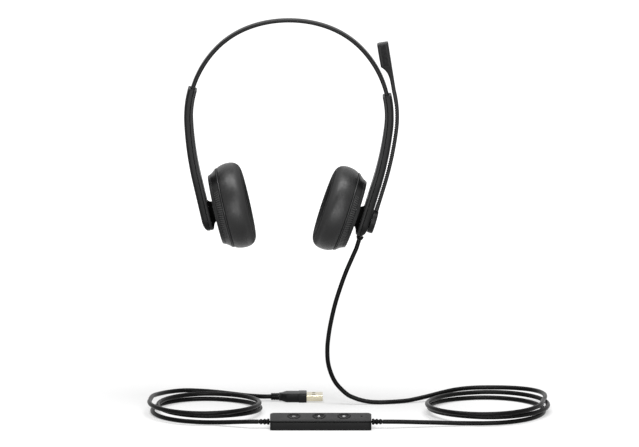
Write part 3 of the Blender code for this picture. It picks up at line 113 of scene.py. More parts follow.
class Finish(Enum):
    """Every finish on the headset, with the record's material slot that it belongs to. The cushion's ear
    side, the ribs' crests and the lid are copies of their slot's material with painted shade or painted
    light.
    """

    SLEEVE = "sleeve"
    ARM = "arm"
    COVER = "cover"
    NECK = "neck"
    HOUSING = "housing"
    RIM = "rim"
    CUSHION = "cushion"
    CLOTH = "cloth"
    BOOM = "boom"
    CORD = "cord"
    CASE = "case"
    BUTTON = "button"
    LENS = "lens"
    BOARD = "board"
    SWITCH = "switch"
    DRIVER = "driver"
    FILM = "film"
    STEEL = "steel"
    PLATE = "plate"
    GOLD = "gold"
    TONGUE = "tongue"
    SIGN = "sign"
    EAR_SIDE_SHADE = "ear_side_shade"
    RIB_HIGHLIGHT = "rib"
    LID = "lid"

    @property
    def slot(self) -> str:
        """The record's slot, which is another finish's for what belongs to that."""
        shared = {"sign": "button", "ear_side_shade": "cushion", "rib": "housing", "lid": "case"}
        return shared.get(self.value, self.value)


@dataclass(frozen=True)
class BandSizes:
    """Sizes of the headband, in metres and radians."""

    radius: float = 74.2 * MM
    flattening: float = 1.7 * MM
    flat_angle: float = math.radians(45)
    end_angle: float = math.radians(100)
    width: float = 8.0 * MM
    crown_thickness: float = 2.2 * MM
    end_thickness: float = 3.0 * MM
    taper_angle: float = math.radians(60)
    corner: float = 1.05 * MM

    @property
    def centre(self) -> Vector:
        """Centre of the band's arc."""
        return Vector((0, 0, self.crown_thickness / 2 + self.flattening - self.radius))


@dataclass(frozen=True)
class ArmSizes:
    """Sizes of a sliding arm, in metres and radians."""

    mouth_angle: float = math.radians(16.7)
    bend_start: float = math.radians(3)
    lean: float = math.radians(13)
    bend_radius: float = 250 * MM
    tail: float = 40.0 * MM
    mouth_thickness: float = 6.6 * MM
    foot_thickness: float = 7.0 * MM
    mouth_depth: float = 12.6 * MM
    foot_depth: float = 18.0 * MM
    end_rounding: float = 9.0 * MM
    outer_corner: float = 2.1 * MM
    inner_corner: float = 1.2 * MM
    cover_share: float = 0.34
    channel_end: float = math.radians(11)
    channel_clearance: float = 0.35 * MM
    pivot_along_tail: float = 25.9 * MM
    to_seam: float = 15.2 * MM


@dataclass(frozen=True)
class CupSizes:
    """Sizes of an ear cup along its axis, from the seam between housing and cushion."""

    depth: float = 7.2 * MM
    back_radius: float = 25.3 * MM
    wall: float = 1.6 * MM
    back_height: float = 2.2 * MM
    vent_flare: float = 1.2
    rim_radius: float = 29.9 * MM
    baffle: float = 1.4 * MM
    baffle_hole: float = 15.6 * MM
    cushion_radius: float = 32.0 * MM
    cushion_widest: float = 8.5 * MM
    cushion_seat: float = 30.4 * MM
    cushion_front: float = 17.9 * MM
    squareness: float = 0.83
    ear_hole: float = 13.6 * MM
    neck_gap: float = 1.2 * MM
    neck_base: tuple[float, float, float] = (22.6 * MM, 14.6 * MM, 2.7 * MM)
    neck_tip: tuple[float, float, float] = (15.6 * MM, 10.0 * MM, 1.0 * MM)
    ball_radius: float = 2.4 * MM
    stud_hole: float = 1.7 * MM
    ribs: int = 104
    rib_depth: float = 0.45 * MM


@dataclass(frozen=True)
class BoomSizes:
    """Sizes of the microphone boom."""

    hub_below_pivot: float = 1.4 * MM
    hub_radius: float = 8.7 * MM
    hub_thickness: float = 3.9 * MM
    pin_radius: float = 2.0 * MM
    pin_in_hub: float = 2.6 * MM
    width: float = 3.0 * MM
    depth: float = 4.6 * MM
    offset: float = 5.8 * MM
    top_angle: float = math.radians(18.2)
    capsule_lean: float = math.radians(13.0)
    capsule_taper: float = 19.0 * MM
    capsule_flare: float = 4.0
    capsule_length: float = 36.4 * MM
    capsule_width: float = 8.2 * MM
    capsule_depth: float = 8.4 * MM
    mic_radius: float = 2.6 * MM
    mic_below_top: float = 8.0 * MM
    rib_pitch: float = 1.7 * MM
    rib_depth: float = 0.5 * MM


@dataclass(frozen=True)
class CordSizes:
    """Sizes of the cord and of the desk it lies on."""

    diameter: float = 3.3 * MM
    desk: float = -289.5 * MM
    layer_gap: float = 0.5 * MM
    climb: float = math.radians(150)
    relief_length: float = 2.8 * MM
    relief_radius: float = 2.7 * MM
    wires_radius: float = 0.9 * MM
    sides: int = 18
    step: float = 2.5 * MM

    @property
    def radius(self) -> float:
        """Half the diameter."""
        return self.diameter / 2

    @property
    def layer(self) -> float:
        """Height from one layer of a coil to the next."""
        return self.diameter + self.layer_gap


@dataclass(frozen=True)
class ControllerSizes:
    """Sizes of the inline controller."""

    place: tuple[float, float] = (23.5 * MM, -80.6 * MM)
    length: float = 74.8 * MM
    width: float = 17.0 * MM
    base_height: float = 6.8 * MM
    front_rise: float = 0.5 * MM
    back_rise: float = 3.5 * MM
    crest: float = 0.76
    end_rounding: float = 3.0 * MM
    exit_height: float = 4.9 * MM
    relief_length: float = 8.0 * MM
    relief_radius: float = 2.4 * MM
    pitch: float = 18.5 * MM
    row_offset: float = -1.3 * MM
    button_radius: float = 4.6 * MM
    button_depth: float = 0.44
    proud: float = 0.35 * MM
    dish: float = 0.4 * MM
    skirt: float = 0.95 * MM
    lens_x: float = 30.1 * MM
    lens_radius: float = 0.8 * MM


@dataclass(frozen=True)
class PlugSizes:
    """Sizes of the USB plug."""

    back: float = -7.4 * MM
    across: float = 11.4 * MM
    length: float = 20.5 * MM
    width: float = 13.5 * MM
    height: float = 7.0 * MM
    step: float = 6.0 * MM
    relief_length: float = 5.6 * MM
    relief_radius: float = 2.6 * MM
    shell_length: float = 11.9 * MM
    shell_sunk: float = 5.0 * MM
    shell_width: float = 12.0 * MM
    shell_height: float = 4.5 * MM
    wall: float = 0.4 * MM
    corner: float = 0.55 * MM


@dataclass(frozen=True)
class Sizes:
    """All sizes of the headset, and the gap kept between neighbours."""

    band: BandSizes = BandSizes()
    arm: ArmSizes = ArmSizes()
    cup: CupSizes = CupSizes()
    boom: BoomSizes = BoomSizes()
    cord: CordSizes = CordSizes()
    controller: ControllerSizes = ControllerSizes()
    plug: PlugSizes = PlugSizes()
    gap: float = 0.3 * MM


class NodeTree:
    """A thin hand on a shader node tree that lays nodes out and links them."""

    SPACING = 190

    def __init__(self, tree: Tree) -> None:
        """Takes a tree in hand and clears it.

        Args:
            tree: The tree.
        """
        self.tree = tree
        self.tree.nodes.clear()
        self._column = 0

    def node(self, kind: str, **settings: object) -> Node:
        """Adds a node.

        Args:
            kind: Blender's name of the node type.
            settings: Attributes to set on it.

        Returns:
            The new node.
        """
        made = self.tree.nodes.new(kind)
        made.location = (self._column * self.SPACING, 0)
        self._column += 1
        for name, value in settings.items():
            setattr(made, name, value)
        return made

    def feed(self, node: Node, values: dict[object, object]) -> Node:
        """Links or sets inputs of a node.

        Args:
            node: The node.
            values: A socket or a plain value for each input, by its name or number.

        Returns:
            The node.
        """
        for key, value in values.items():
            if isinstance(value, Socket):
                self.tree.links.new(value, node.inputs[key])
            else:
                node.inputs[key].default_value = value
        return node

    def maths(self, operation: str, first: object, second: object = 0.0) -> Socket:
        """Result of a Math node on two sockets or numbers."""
        return self.feed(self.node("ShaderNodeMath", operation=operation), {0: first, 1: second}).outputs[0]

    def mix(self, factor: object, first: object, second: object, blend: str = "MIX") -> Socket:
        """Result of a colour Mix node on sockets or plain values."""
        made = self.node("ShaderNodeMix", data_type="RGBA", blend_type=blend)
        return self.feed(made, {0: factor, 6: first, 7: second}).outputs[2]

    def place(self) -> Socket:
        """The piece's own coordinates."""
        return self.node("ShaderNodeTexCoord").outputs["Object"]

    def noise(self, place: object, scale: object, detail: float = 2.0) -> Node:
        """A noise on coordinates, with a socket or a number as its scale."""
        values = {"Vector": place, "Scale": scale, "Detail": detail}
        return self.feed(self.node("ShaderNodeTexNoise"), values)

    def bump(self, height: object, strength: object, distance: float) -> Socket:
        """Normal of a surface with these heights, a distance deep."""
        values = {"Strength": strength, "Distance": distance, "Height": height}
        return self.feed(self.node("ShaderNodeBump"), values).outputs["Normal"]


class NodeGroups:
    """Shader node groups that several finishes share."""

    RUBBED = (0.16, 0.16, 0.165, 1.0)
    BLACK = (0.03, 0.03, 0.03, 1.0)
    EDGE_RANGE = (0.52, 0.62)
    EDGE_BREAKUP = 420.0
    MOULD_WAVES = (140.0, 0.6)
    FOLDS = (110.0, 1.6)
    CELL_BEND = (500.0, 0.0006)
    CREASE_WIDTH = 0.22
    THREAD_WANDER = 0.6
    STREAK_STRETCH = (0.06, 1.0, 1.0)
    GLOSS_SWING = 0.5
    STREAK_SWING = 0.3
    GRAIN_DEEP = 0.0001
    LEATHER_DEEP = 0.00012
    WEAVE_DEEP = 0.0002
    STREAK_DEEP = 0.00005

    def __init__(self) -> None:
        """Makes the groups."""
        self.grain = self._grain()
        self.drift = self._drift()
        self.edge = self._edge()
        self.leather = self._leather()
        self.weave = self._weave()
        self.streaks = self._streaks()

    @staticmethod
    def _new(
        name: str, inputs: dict[str, object], outputs: dict[str, str]
    ) -> tuple[NodeTree, object, Node]:
        """Starts a group with named sockets.

        Args:
            name: Name of the group.
            inputs: Default value by name, a number or a colour.
            outputs: Kind of socket by name.

        Returns:
            The tree's hand, the sockets that it is given and its output node.
        """
        group = bpy.data.node_groups.new(name, "ShaderNodeTree")
        for socket, value in inputs.items():
            kind = "NodeSocketColor" if isinstance(value, tuple) else "NodeSocketFloat"
            group.interface.new_socket(socket, in_out="INPUT", socket_type=kind).default_value = value
        for socket, kind in outputs.items():
            group.interface.new_socket(socket, in_out="OUTPUT", socket_type=f"NodeSocket{kind}")
        hand = NodeTree(group)
        return hand, hand.node("NodeGroupInput").outputs, hand.node("NodeGroupOutput")

    def _grain(self) -> Tree:
        """Spark-eroded grain of moulded plastic: fine pits over a slow waviness.

        Returns:
            The group.
        """
        hand, given, end = self._new("Moulded Grain", {"Scale": 2400.0, "Depth": 0.15}, {"Normal": "Vector"})
        place = hand.place()
        pits = hand.noise(place, given["Scale"], 3.0)
        scale, share = self.MOULD_WAVES
        waves = hand.noise(place, scale)
        height = hand.maths("ADD", pits.outputs["Fac"], hand.maths("MULTIPLY", waves.outputs["Fac"], share))
        hand.feed(end, {"Normal": hand.bump(height, given["Depth"], self.GRAIN_DEEP)})
        return hand.tree

    def _drift(self) -> Tree:
        """Slow change of tone and gloss over a surface, as handling and moulding leave it.

        Returns:
            The group.
        """
        hand, given, end = self._new(
            "Tone Drift",
            {"Colour": self.BLACK, "Amount": 0.2, "Gloss": 0.45, "Scale": 60.0},
            {"Colour": "Color", "Roughness": "Float"},
        )
        cloud = hand.noise(hand.place(), given["Scale"], 4.0)
        swing = hand.maths("SUBTRACT", cloud.outputs["Fac"], 0.5)
        share = hand.maths("MULTIPLY", swing, given["Amount"])
        level = hand.maths("ADD", hand.maths("MULTIPLY", share, 2.0), 1.0)
        tone = hand.node("ShaderNodeVectorMath", operation="SCALE")
        hand.feed(tone, {0: given["Colour"], "Scale": level})
        rough = hand.maths("ADD", given["Gloss"], hand.maths("MULTIPLY", share, self.GLOSS_SWING))
        hand.feed(end, {"Colour": tone.outputs[0], "Roughness": rough})
        return hand.tree

    def _edge(self) -> Tree:
        """Paler edges where a moulding is rubbed.

        Returns:
            The group.
        """
        given = {"Colour": self.BLACK, "Strength": 0.35}
        hand, given, end = self._new("Rubbed Edge", given, {"Colour": "Color"})
        shape = hand.node("ShaderNodeNewGeometry")
        ramp = hand.node("ShaderNodeMapRange")
        first, last = self.EDGE_RANGE
        hand.feed(ramp, {"From Min": first, "From Max": last, "Value": shape.outputs["Pointiness"]})
        breakup = hand.noise(hand.place(), self.EDGE_BREAKUP)
        mask = hand.maths("MULTIPLY", ramp.outputs["Result"], breakup.outputs["Fac"])
        mask = hand.maths("MULTIPLY", mask, given["Strength"])
        hand.feed(end, {"Colour": hand.mix(mask, given["Colour"], self.RUBBED)})
        return hand.tree

    def _leather(self) -> Tree:
        """Pebbled leatherette: rounded cells with fine creases between them and soft folds.

        Returns:
            The group.
        """
        hand, given, end = self._new(
            "Leatherette Grain", {"Scale": 1300.0, "Depth": 0.3}, {"Normal": "Vector", "Crease": "Float"}
        )
        place = hand.place()
        scale, reach = self.CELL_BEND
        bend = hand.noise(place, scale)
        moved = hand.node("ShaderNodeVectorMath", operation="MULTIPLY_ADD")
        hand.feed(moved, {0: bend.outputs["Color"], 1: (reach, reach, reach), 2: place})
        cells = hand.node("ShaderNodeTexVoronoi", feature="DISTANCE_TO_EDGE")
        hand.feed(cells, {"Vector": moved.outputs[0], "Scale": given["Scale"]})
        crease = hand.node("ShaderNodeMapRange", interpolation_type="SMOOTHSTEP")
        hand.feed(crease, {"From Max": self.CREASE_WIDTH, "Value": cells.outputs["Distance"]})
        scale, share = self.FOLDS
        folds = hand.maths("MULTIPLY", hand.noise(place, scale, 3.0).outputs["Fac"], share)
        height = hand.maths("ADD", crease.outputs["Result"], folds)
        normal = hand.bump(height, given["Depth"], self.LEATHER_DEEP)
        hand.feed(end, {"Normal": normal, "Crease": crease.outputs["Result"]})
        return hand.tree

    def _weave(self) -> Tree:
        """Plain weave: two crossing sets of threads that pass over and under.

        Returns:
            The group.
        """
        hand, given, end = self._new(
            "Plain Weave", {"Scale": 900.0, "Depth": 0.6}, {"Normal": "Vector", "Thread": "Float"}
        )
        place = hand.place()
        waves = []
        for direction in ("Y", "Z"):
            wave = hand.node("ShaderNodeTexWave", wave_type="BANDS", bands_direction=direction)
            hand.feed(wave, {"Vector": place, "Scale": given["Scale"], "Distortion": self.THREAD_WANDER})
            waves.append(wave.outputs["Fac"])
        thread = hand.maths("MAXIMUM", waves[0], waves[1])
        hand.feed(end, {"Normal": hand.bump(thread, given["Depth"], self.WEAVE_DEEP), "Thread": thread})
        return hand.tree

    def _streaks(self) -> Tree:
        """Long fine scratches of drawn or brushed metal.

        Returns:
            The group.
        """
        hand, given, end = self._new(
            "Drawn Streaks",
            {"Scale": 900.0, "Depth": 0.2, "Gloss": 0.3},
            {"Normal": "Vector", "Roughness": "Float"},
        )
        stretch = hand.node("ShaderNodeMapping")
        hand.feed(stretch, {"Vector": hand.place(), "Scale": self.STREAK_STRETCH})
        lines = hand.noise(stretch.outputs["Vector"], given["Scale"], 4.0).outputs["Fac"]
        swing = hand.maths("MULTIPLY", hand.maths("SUBTRACT", lines, 0.5), self.STREAK_SWING)
        rough = hand.maths("ADD", given["Gloss"], swing)
        hand.feed(end, {"Normal": hand.bump(lines, given["Depth"], self.STREAK_DEEP), "Roughness": rough})
        return hand.tree


@dataclass(frozen=True)
class PlasticRecipe:
    """What sets one moulded finish apart from another."""

    colour: Colour
    roughness: float
    specular: float = 0.35
    grain_scale: float = 2400.0
    grain_depth: float = 0.15
    drift: float = 0.18
    edge: float = 0.3


@dataclass(frozen=True)
class LeatheretteRecipe:
    """The cushions' cover: its colours and gloss outside, and on the ear side a copy with painted shade,
    paler and rougher but reflecting less, so that the roll turned from the lamps reads dark.
    """

    colour: Colour = (0.006, 0.006, 0.0062)
    # Painted shade: the ear side's copy is paler and rougher and reflects less, so that the roll turned from
    # the lamps reads dark
    ear_side_shade_colour: Colour = (0.016, 0.016, 0.0162)
    crease_shade: float = 0.55
    drift: float = 0.14
    drift_scale: float = 45.0
    roughness: float = 0.34
    ear_side_shade_roughness: float = 0.9
    grain_scale: float = 1300.0
    grain_depth: float = 0.32


class Materials:
    """Makes one procedural material for each finish."""

    PLASTICS: dict[Finish, PlasticRecipe] = {
        Finish.SLEEVE: PlasticRecipe((0.009, 0.009, 0.0093), 0.38, 0.10, 2600, 0.2),
        Finish.ARM: PlasticRecipe((0.009, 0.009, 0.0093), 0.36, 0.10, 2400, 0.16),
        Finish.COVER: PlasticRecipe((0.026, 0.026, 0.0265), 0.42, 0.10, 2400, 0.16),
        Finish.NECK: PlasticRecipe((0.003, 0.003, 0.003), 0.6, 0.05, 2000, 0.2),
        Finish.HOUSING: PlasticRecipe((0.004, 0.004, 0.0042), 0.34, 0.22, 2200, 0.2),
        Finish.RIM: PlasticRecipe((0.024, 0.024, 0.0245), 0.36, 0.2, 2400, 0.1),
        Finish.BOOM: PlasticRecipe((0.020, 0.020, 0.0205), 0.36, 0.12, 2600, 0.2),
        Finish.CORD: PlasticRecipe((0.0018, 0.0018, 0.0019), 0.30, 0.09, 1500, 0.25, 0.3, 0.0),
        Finish.CASE: PlasticRecipe((0.009, 0.009, 0.0092), 0.34, 0.10, 2600, 0.22),
        Finish.BUTTON: PlasticRecipe((0.004, 0.004, 0.0042), 0.32, 0.12, 2600, 0.12),
        # Painted light: the lid, the controller's top, is a paler copy of the case's black, for the light
        # that falls on it from above
        Finish.LID: PlasticRecipe((0.026, 0.026, 0.0265), 0.34, 0.10, 2600, 0.22),
        # Painted highlight: the ribs' crests are a paler copy of the housing's black, so that the ribs read
        # as lit
        Finish.RIB_HIGHLIGHT: PlasticRecipe((0.050, 0.050, 0.0505), 0.36, 0.2, 2200, 0.2),
        Finish.SWITCH: PlasticRecipe((0.05, 0.05, 0.05), 0.5),
        Finish.DRIVER: PlasticRecipe((0.10, 0.10, 0.105), 0.5),
        Finish.TONGUE: PlasticRecipe((0.68, 0.68, 0.65), 0.5, 0.4, 2400, 0.1, 0.05, 0.0),
        Finish.SIGN: PlasticRecipe((0.42, 0.42, 0.42), 0.5, 0.2, 2400, 0.05, 0.06, 0.0),
    }
    LEATHERETTE = LeatheretteRecipe()
    OUTSIDE_SPECULAR = 0.36
    # Painted shade: the ear side's copy reflects less than the outside
    EAR_SIDE_SHADE_SPECULAR = 0.1
    WHITE = (1.0, 1.0, 1.0, 1.0)

    def __init__(self) -> None:
        """Makes the groups that the materials share."""
        self.groups = NodeGroups()
        self._made: dict[Finish, Material] = {}

    def get(self, finish: Finish) -> Material:
        """The material of a finish, made when it is first asked for."""
        made = self._made.get(finish) or self._make(finish)
        return self._made.setdefault(finish, made)

    def _make(self, finish: Finish) -> Material:
        """Makes the material of a finish.

        Args:
            finish: The finish.

        Returns:
            The new material.
        """
        if finish in self.PLASTICS:
            return self._plastic(finish.value, self.PLASTICS[finish])
        makers: dict[Finish, Callable[[], Material]] = {
            Finish.CUSHION: lambda: self._leatherette("leatherette", self.OUTSIDE_SPECULAR),
            Finish.EAR_SIDE_SHADE: lambda: self._leatherette("leatherette_ear_side_shade", self.EAR_SIDE_SHADE_SPECULAR),
            Finish.CLOTH: self._cloth,
            Finish.LENS: self._lens,
            Finish.BOARD: self._board,
            Finish.FILM: self._film,
            Finish.STEEL: lambda: self._metal("steel", (0.55, 0.55, 0.56), 0.3),
            Finish.PLATE: lambda: self._metal("plate", (0.62, 0.57, 0.43), 0.24),
            Finish.GOLD: lambda: self._metal("gold", (0.90, 0.68, 0.28), 0.25),
        }
        return makers[finish]()

    @staticmethod
    def _start(name: str) -> tuple[Material, NodeTree, Node]:
        """A new material with a Principled shader on its output.

        Args:
            name: Name of the material.

        Returns:
            The material, the hand on its tree and the shader.
        """
        made = bpy.data.materials.new(f"look_{name}")
        made.use_nodes = True
        hand = NodeTree(made.node_tree)
        shader = hand.node("ShaderNodeBsdfPrincipled")
        hand.feed(hand.node("ShaderNodeOutputMaterial"), {"Surface": shader.outputs["BSDF"]})
        return made, hand, shader

    @staticmethod
    def _group(hand: NodeTree, tree: Tree, **values: object) -> Outputs:
        """Sockets of a group node that is given sockets or plain values."""
        return hand.feed(hand.node("ShaderNodeGroup", node_tree=tree), values).outputs

    def _plastic(self, name: str, recipe: PlasticRecipe) -> Material:
        """Moulded plastic or rubber with grain, drifting tone and rubbed edges.

        Args:
            name: Name of the finish.
            recipe: What sets it apart.

        Returns:
            The material.
        """
        made, hand, shader = self._start(name)
        drifted = {"Colour": (*recipe.colour, 1.0), "Amount": recipe.drift, "Gloss": recipe.roughness}
        tone = self._group(hand, self.groups.drift, **drifted)
        edge = self._group(hand, self.groups.edge, Colour=tone["Colour"], Strength=recipe.edge)
        grain = self._group(hand, self.groups.grain, Scale=recipe.grain_scale, Depth=recipe.grain_depth)
        hand.feed(shader, {"Base Color": edge["Colour"], "Roughness": tone["Roughness"]})
        hand.feed(shader, {"Normal": grain["Normal"], "Specular IOR Level": recipe.specular})
        return made

    def _leatherette(self, name: str, specular: float) -> Material:
        """Soft leatherette: pebbled and darker in its creases. It has painted shade on the ear side, where a
        paler, rougher copy that reflects less makes the roll turned from the lamps read dark.

        Args:
            name: Name of the finish.
            specular: Its specular level.

        Returns:
            The material.
        """
        made, hand, shader = self._start(name)
        recipe = self.LEATHERETTE
        tone = self._group(
            hand,
            self.groups.drift,
            Colour=(*recipe.colour, 1.0),
            Amount=recipe.drift,
            Gloss=recipe.roughness,
            Scale=recipe.drift_scale,
        )
        grain = self._group(hand, self.groups.leather, Scale=recipe.grain_scale, Depth=recipe.grain_depth)
        shade = hand.mix(grain["Crease"], (*[recipe.crease_shade] * 3, 1.0), self.WHITE)
        colour = hand.mix(1.0, tone["Colour"], shade, "MULTIPLY")
        # Painted shade on the ear side: the vertex layer mixes colour and roughness towards the paler,
        # rougher copy
        ear_side_shade = hand.node("ShaderNodeAttribute", attribute_name=EAR_SIDE_SHADE_LAYER).outputs["Fac"]
        inner = hand.mix(ear_side_shade, colour, (*recipe.ear_side_shade_colour, 1.0))
        dull = hand.mix(ear_side_shade, tone["Roughness"], (*[recipe.ear_side_shade_roughness] * 3, 1.0))
        hand.feed(shader, {"Base Color": inner, "Roughness": dull})
        hand.feed(shader, {"Normal": grain["Normal"], "Specular IOR Level": specular})
        return made

    def _cloth(self) -> Material:
        """Black woven scrim over the driver and the microphone.

        Returns:
            The material.
        """
        made, hand, shader = self._start("scrim")
        weave = self._group(hand, self.groups.weave, Scale=1100.0, Depth=0.7)
        colour = hand.mix(weave["Thread"], (0.004, 0.004, 0.004, 1.0), (0.024, 0.024, 0.025, 1.0))
        hand.feed(shader, {"Base Color": colour, "Normal": weave["Normal"]})
        hand.feed(shader, {"Roughness": 0.85, "Specular IOR Level": 0.2})
        return made

    def _toned(
        self, name: str, colour: Colour, drift: float, gloss: float, scale: float
    ) -> tuple[Material, NodeTree, Node]:
        """A material whose tone and gloss drift over it.

        Args:
            name: Name of the finish.
            colour: Its colour.
            drift: How far the tone drifts.
            gloss: Its roughness.
            scale: Scale of the drift.

        Returns:
            The material, the hand on its tree and the shader.
        """
        made, hand, shader = self._start(name)
        drifted = {"Colour": (*colour, 1.0), "Amount": drift, "Gloss": gloss, "Scale": scale}
        tone = self._group(hand, self.groups.drift, **drifted)
        hand.feed(shader, {"Base Color": tone["Colour"], "Roughness": tone["Roughness"]})
        return made, hand, shader

    def _lens(self) -> Material:
        """Smoked lens of the status light.

        Returns:
            The material.
        """
        made, hand, shader = self._toned("lens", (0.002, 0.002, 0.0021), 0.1, 0.2, 400.0)
        hand.feed(shader, {"Specular IOR Level": 0.08})
        return made

    def _board(self) -> Material:
        """Lacquered circuit board with fine copper runs.

        Returns:
            The material.
        """
        made, hand, shader = self._start("board")
        runs = hand.node("ShaderNodeTexBrick")
        hand.feed(runs, {"Vector": hand.place(), "Scale": 220.0, "Mortar Size": 0.03})
        hand.feed(runs, {"Color1": (0.012, 0.10, 0.04, 1.0), "Color2": (0.016, 0.12, 0.05, 1.0)})
        hand.feed(runs, {"Mortar": (0.10, 0.22, 0.09, 1.0)})
        hand.feed(shader, {"Base Color": runs.outputs["Color"], "Roughness": 0.35})
        return made

    def _film(self) -> Material:
        """Thin pressed film of the diaphragm."""
        return self._toned("film", (0.35, 0.33, 0.29), 0.2, 0.3, 300.0)[0]

    def _metal(self, name: str, colour: Colour, gloss: float) -> Material:
        """Drawn metal with streaks.

        Args:
            name: Name of the finish.
            colour: Its colour.
            gloss: Its roughness.

        Returns:
            The material.
        """
        made, hand, shader = self._toned(name, colour, 0.08, gloss, 250.0)
        lines = self._group(hand, self.groups.streaks, Gloss=gloss, Depth=0.15)
        hand.feed(shader, {"Roughness": lines["Roughness"], "Normal": lines["Normal"], "Metallic": 1.0})
        return made


def clamped(value: float) -> float:
    """A value held between 0 and 1."""
    return min(max(value, 0.0), 1.0)


def eased(share: float) -> float:
    """A share from 0 to 1 that starts and ends gently."""
    return share * share * (3 - 2 * share)


def shares(count: int) -> list[float]:
    """Shares from 0 to 1 in a number of even steps."""
    return [k / count for k in range(count + 1)]


def angles(first: float, step: float, count: int) -> list[float]:
    """A number of angles in radians, from a first one on in steps, both in degrees."""
    return [math.radians(first + step * k) for k in range(count)]


def turn_to(direction: Vector) -> Matrix:
    """Rotation that takes Z to a direction, as a 4x4 matrix."""
    return direction.to_track_quat("Z", "Y").to_matrix().to_4x4()


class Shaper:
    """Makes forms with bmesh."""

    CORNER_STEPS = 6
    CORNER_MOST = 0.48
    WELD = 1e-7

    @staticmethod
    def lofted(rings: Sequence[Ring], closed: bool = False) -> Form:
        """A closed skin through rings of points, bridged from each to the next.

        Args:
            rings: Rings with the same number of points.
            closed: Whether the last ring is bridged to the first. If not, both ends are capped.

        Returns:
            The form.
        """
        bm = bmesh.new()
        loops = [[bm.verts.new(point) for point in ring] for ring in rings]
        hoops = [[bm.edges.new(pair) for pair in zip(loop, loop[1:] + loop[:1])] for loop in loops]
        following = hoops[1:] + hoops[:1] if closed else hoops[1:]
        for lower, upper in zip(hoops, following):
            bmesh.ops.bridge_loops(bm, edges=lower + upper)
        if not closed:
            bm.faces.new(loops[0])
            bm.faces.new(loops[-1])
        bmesh.ops.recalc_face_normals(bm, faces=bm.faces)
        return bm

    @classmethod
    def turned(cls, profile: Outline, segments: int = 96) -> Form:
        """A form turned about Z from a closed outline of (radius, height) points.

        Args:
            profile: The outline.
            segments: Steps round the axis.

        Returns:
            The form.
        """
        bm = bmesh.new()
        corners = [bm.verts.new((radius, 0, height)) for radius, height in profile]
        edges = []
        for first, second in zip(corners, corners[1:] + corners[:1]):
            if first.co.x > 0 or second.co.x > 0:
                edges.append(bm.edges.new((first, second)))
        bmesh.ops.spin(
            bm,
            geom=corners + edges,
            cent=(0, 0, 0),
            axis=(0, 0, 1),
            angle=math.tau,
            steps=segments,
            use_merge=True,
        )
        bmesh.ops.remove_doubles(bm, verts=bm.verts, dist=cls.WELD)
        bmesh.ops.recalc_face_normals(bm, faces=bm.faces)
        return bm

    @classmethod
    def peg(cls, radius: float, low: float, high: float, segments: int) -> Form:
        """A plain round peg about Z, from one height to another."""
        return cls.turned([(0.0, high), (radius, high), (radius, low), (0.0, low)], segments)

    @staticmethod
    def moved(form: Form, matrix: Matrix) -> Form:
        """A form after it has been moved by a matrix."""
        bmesh.ops.transform(form, matrix=matrix, verts=form.verts)
        return form

    @staticmethod
    def ring(middle: Vector, across: Vector, outline: Outline) -> Ring:
        """An outline's points round a middle, with one direction as its across and Y as its depth."""
        return [middle + across * a + Vector((0, d, 0)) for a, d in outline]

    @classmethod
    def tube(cls, path: Sequence[Vector], radius: float, sides: int) -> Form:
        """A round tube along a path, with a frame carried along so that it doesn't twist.

        Args:
            path: Points of the middle line.
            radius: Radius of the tube.
            sides: Points round it.

        Returns:
            The form.
        """
        rings = []
        across = None
        turns = [math.tau * k / sides for k in range(sides)]
        for i, point in enumerate(path):
            ahead = (path[min(i + 1, len(path) - 1)] - path[max(i - 1, 0)]).normalized()
            if across is None:
                across = ahead.orthogonal().normalized()
            across = (across - ahead * across.dot(ahead)).normalized()
            other = ahead.cross(across)
            rings.append([point + radius * (across * math.cos(a) + other * math.sin(a)) for a in turns])
        return cls.lofted(rings)

    @classmethod
    def rounded_outline(
        cls, low: float, high: float, half_depth: float, low_corner: float, high_corner: float
    ) -> Outline:
        """Outline of a section in (across, depth), with its corners rounded.

        Args:
            low: Lowest place across.
            high: Highest place across.
            half_depth: Half the depth.
            low_corner: Radius of the corners at the low side.
            high_corner: Radius of the corners at the high side.

        Returns:
            The outline's points in order.
        """
        most = cls.CORNER_MOST * min(2 * half_depth, high - low)
        arc = angles(0, 90 / cls.CORNER_STEPS, cls.CORNER_STEPS + 1)
        low_corner = min(low_corner, most)
        high_corner = min(high_corner, most)
        spots = (
            (low, 1, 1, low_corner, arc[::-1]),
            (low, 1, -1, low_corner, arc),
            (high, -1, -1, high_corner, arc[::-1]),
            (high, -1, 1, high_corner, arc),
        )
        points: Outline = []
        for across, inward, sign, corner, bend in spots:
            for angle in bend:
                depth = sign * (half_depth - corner * (1 - math.sin(angle)))
                points.append((across + inward * corner * (1 - math.cos(angle)), depth))
        return points

    @staticmethod
    def ellipse(half_x: float, half_y: float, middle: Vector, count: int = 64) -> Ring:
        """Points of an ellipse in a plane of constant Z, in order."""
        turns = [math.tau * i / count for i in range(count)]
        return [Vector((half_x * math.cos(a), half_y * math.sin(a), 0)) + middle for a in turns]

    @classmethod
    def plate(cls, outline: Outline, thickness: float) -> Form:
        """A thin flat plate with this outline in X and Y, standing on Z = 0."""
        return cls.lofted([[Vector((x, y, height)) for x, y in outline] for height in (0, thickness)])

    @staticmethod
    def joined(forms: Iterable[Form]) -> Form:
        """Several forms as one.

        Args:
            forms: The forms, which are used up.

        Returns:
            One form that holds them all.
        """
        whole = bmesh.new()
        for form in forms:
            carrier = bpy.data.meshes.new("carrier")
            form.to_mesh(carrier)
            form.free()
            whole.from_mesh(carrier)
            bpy.data.meshes.remove(carrier)
        return whole


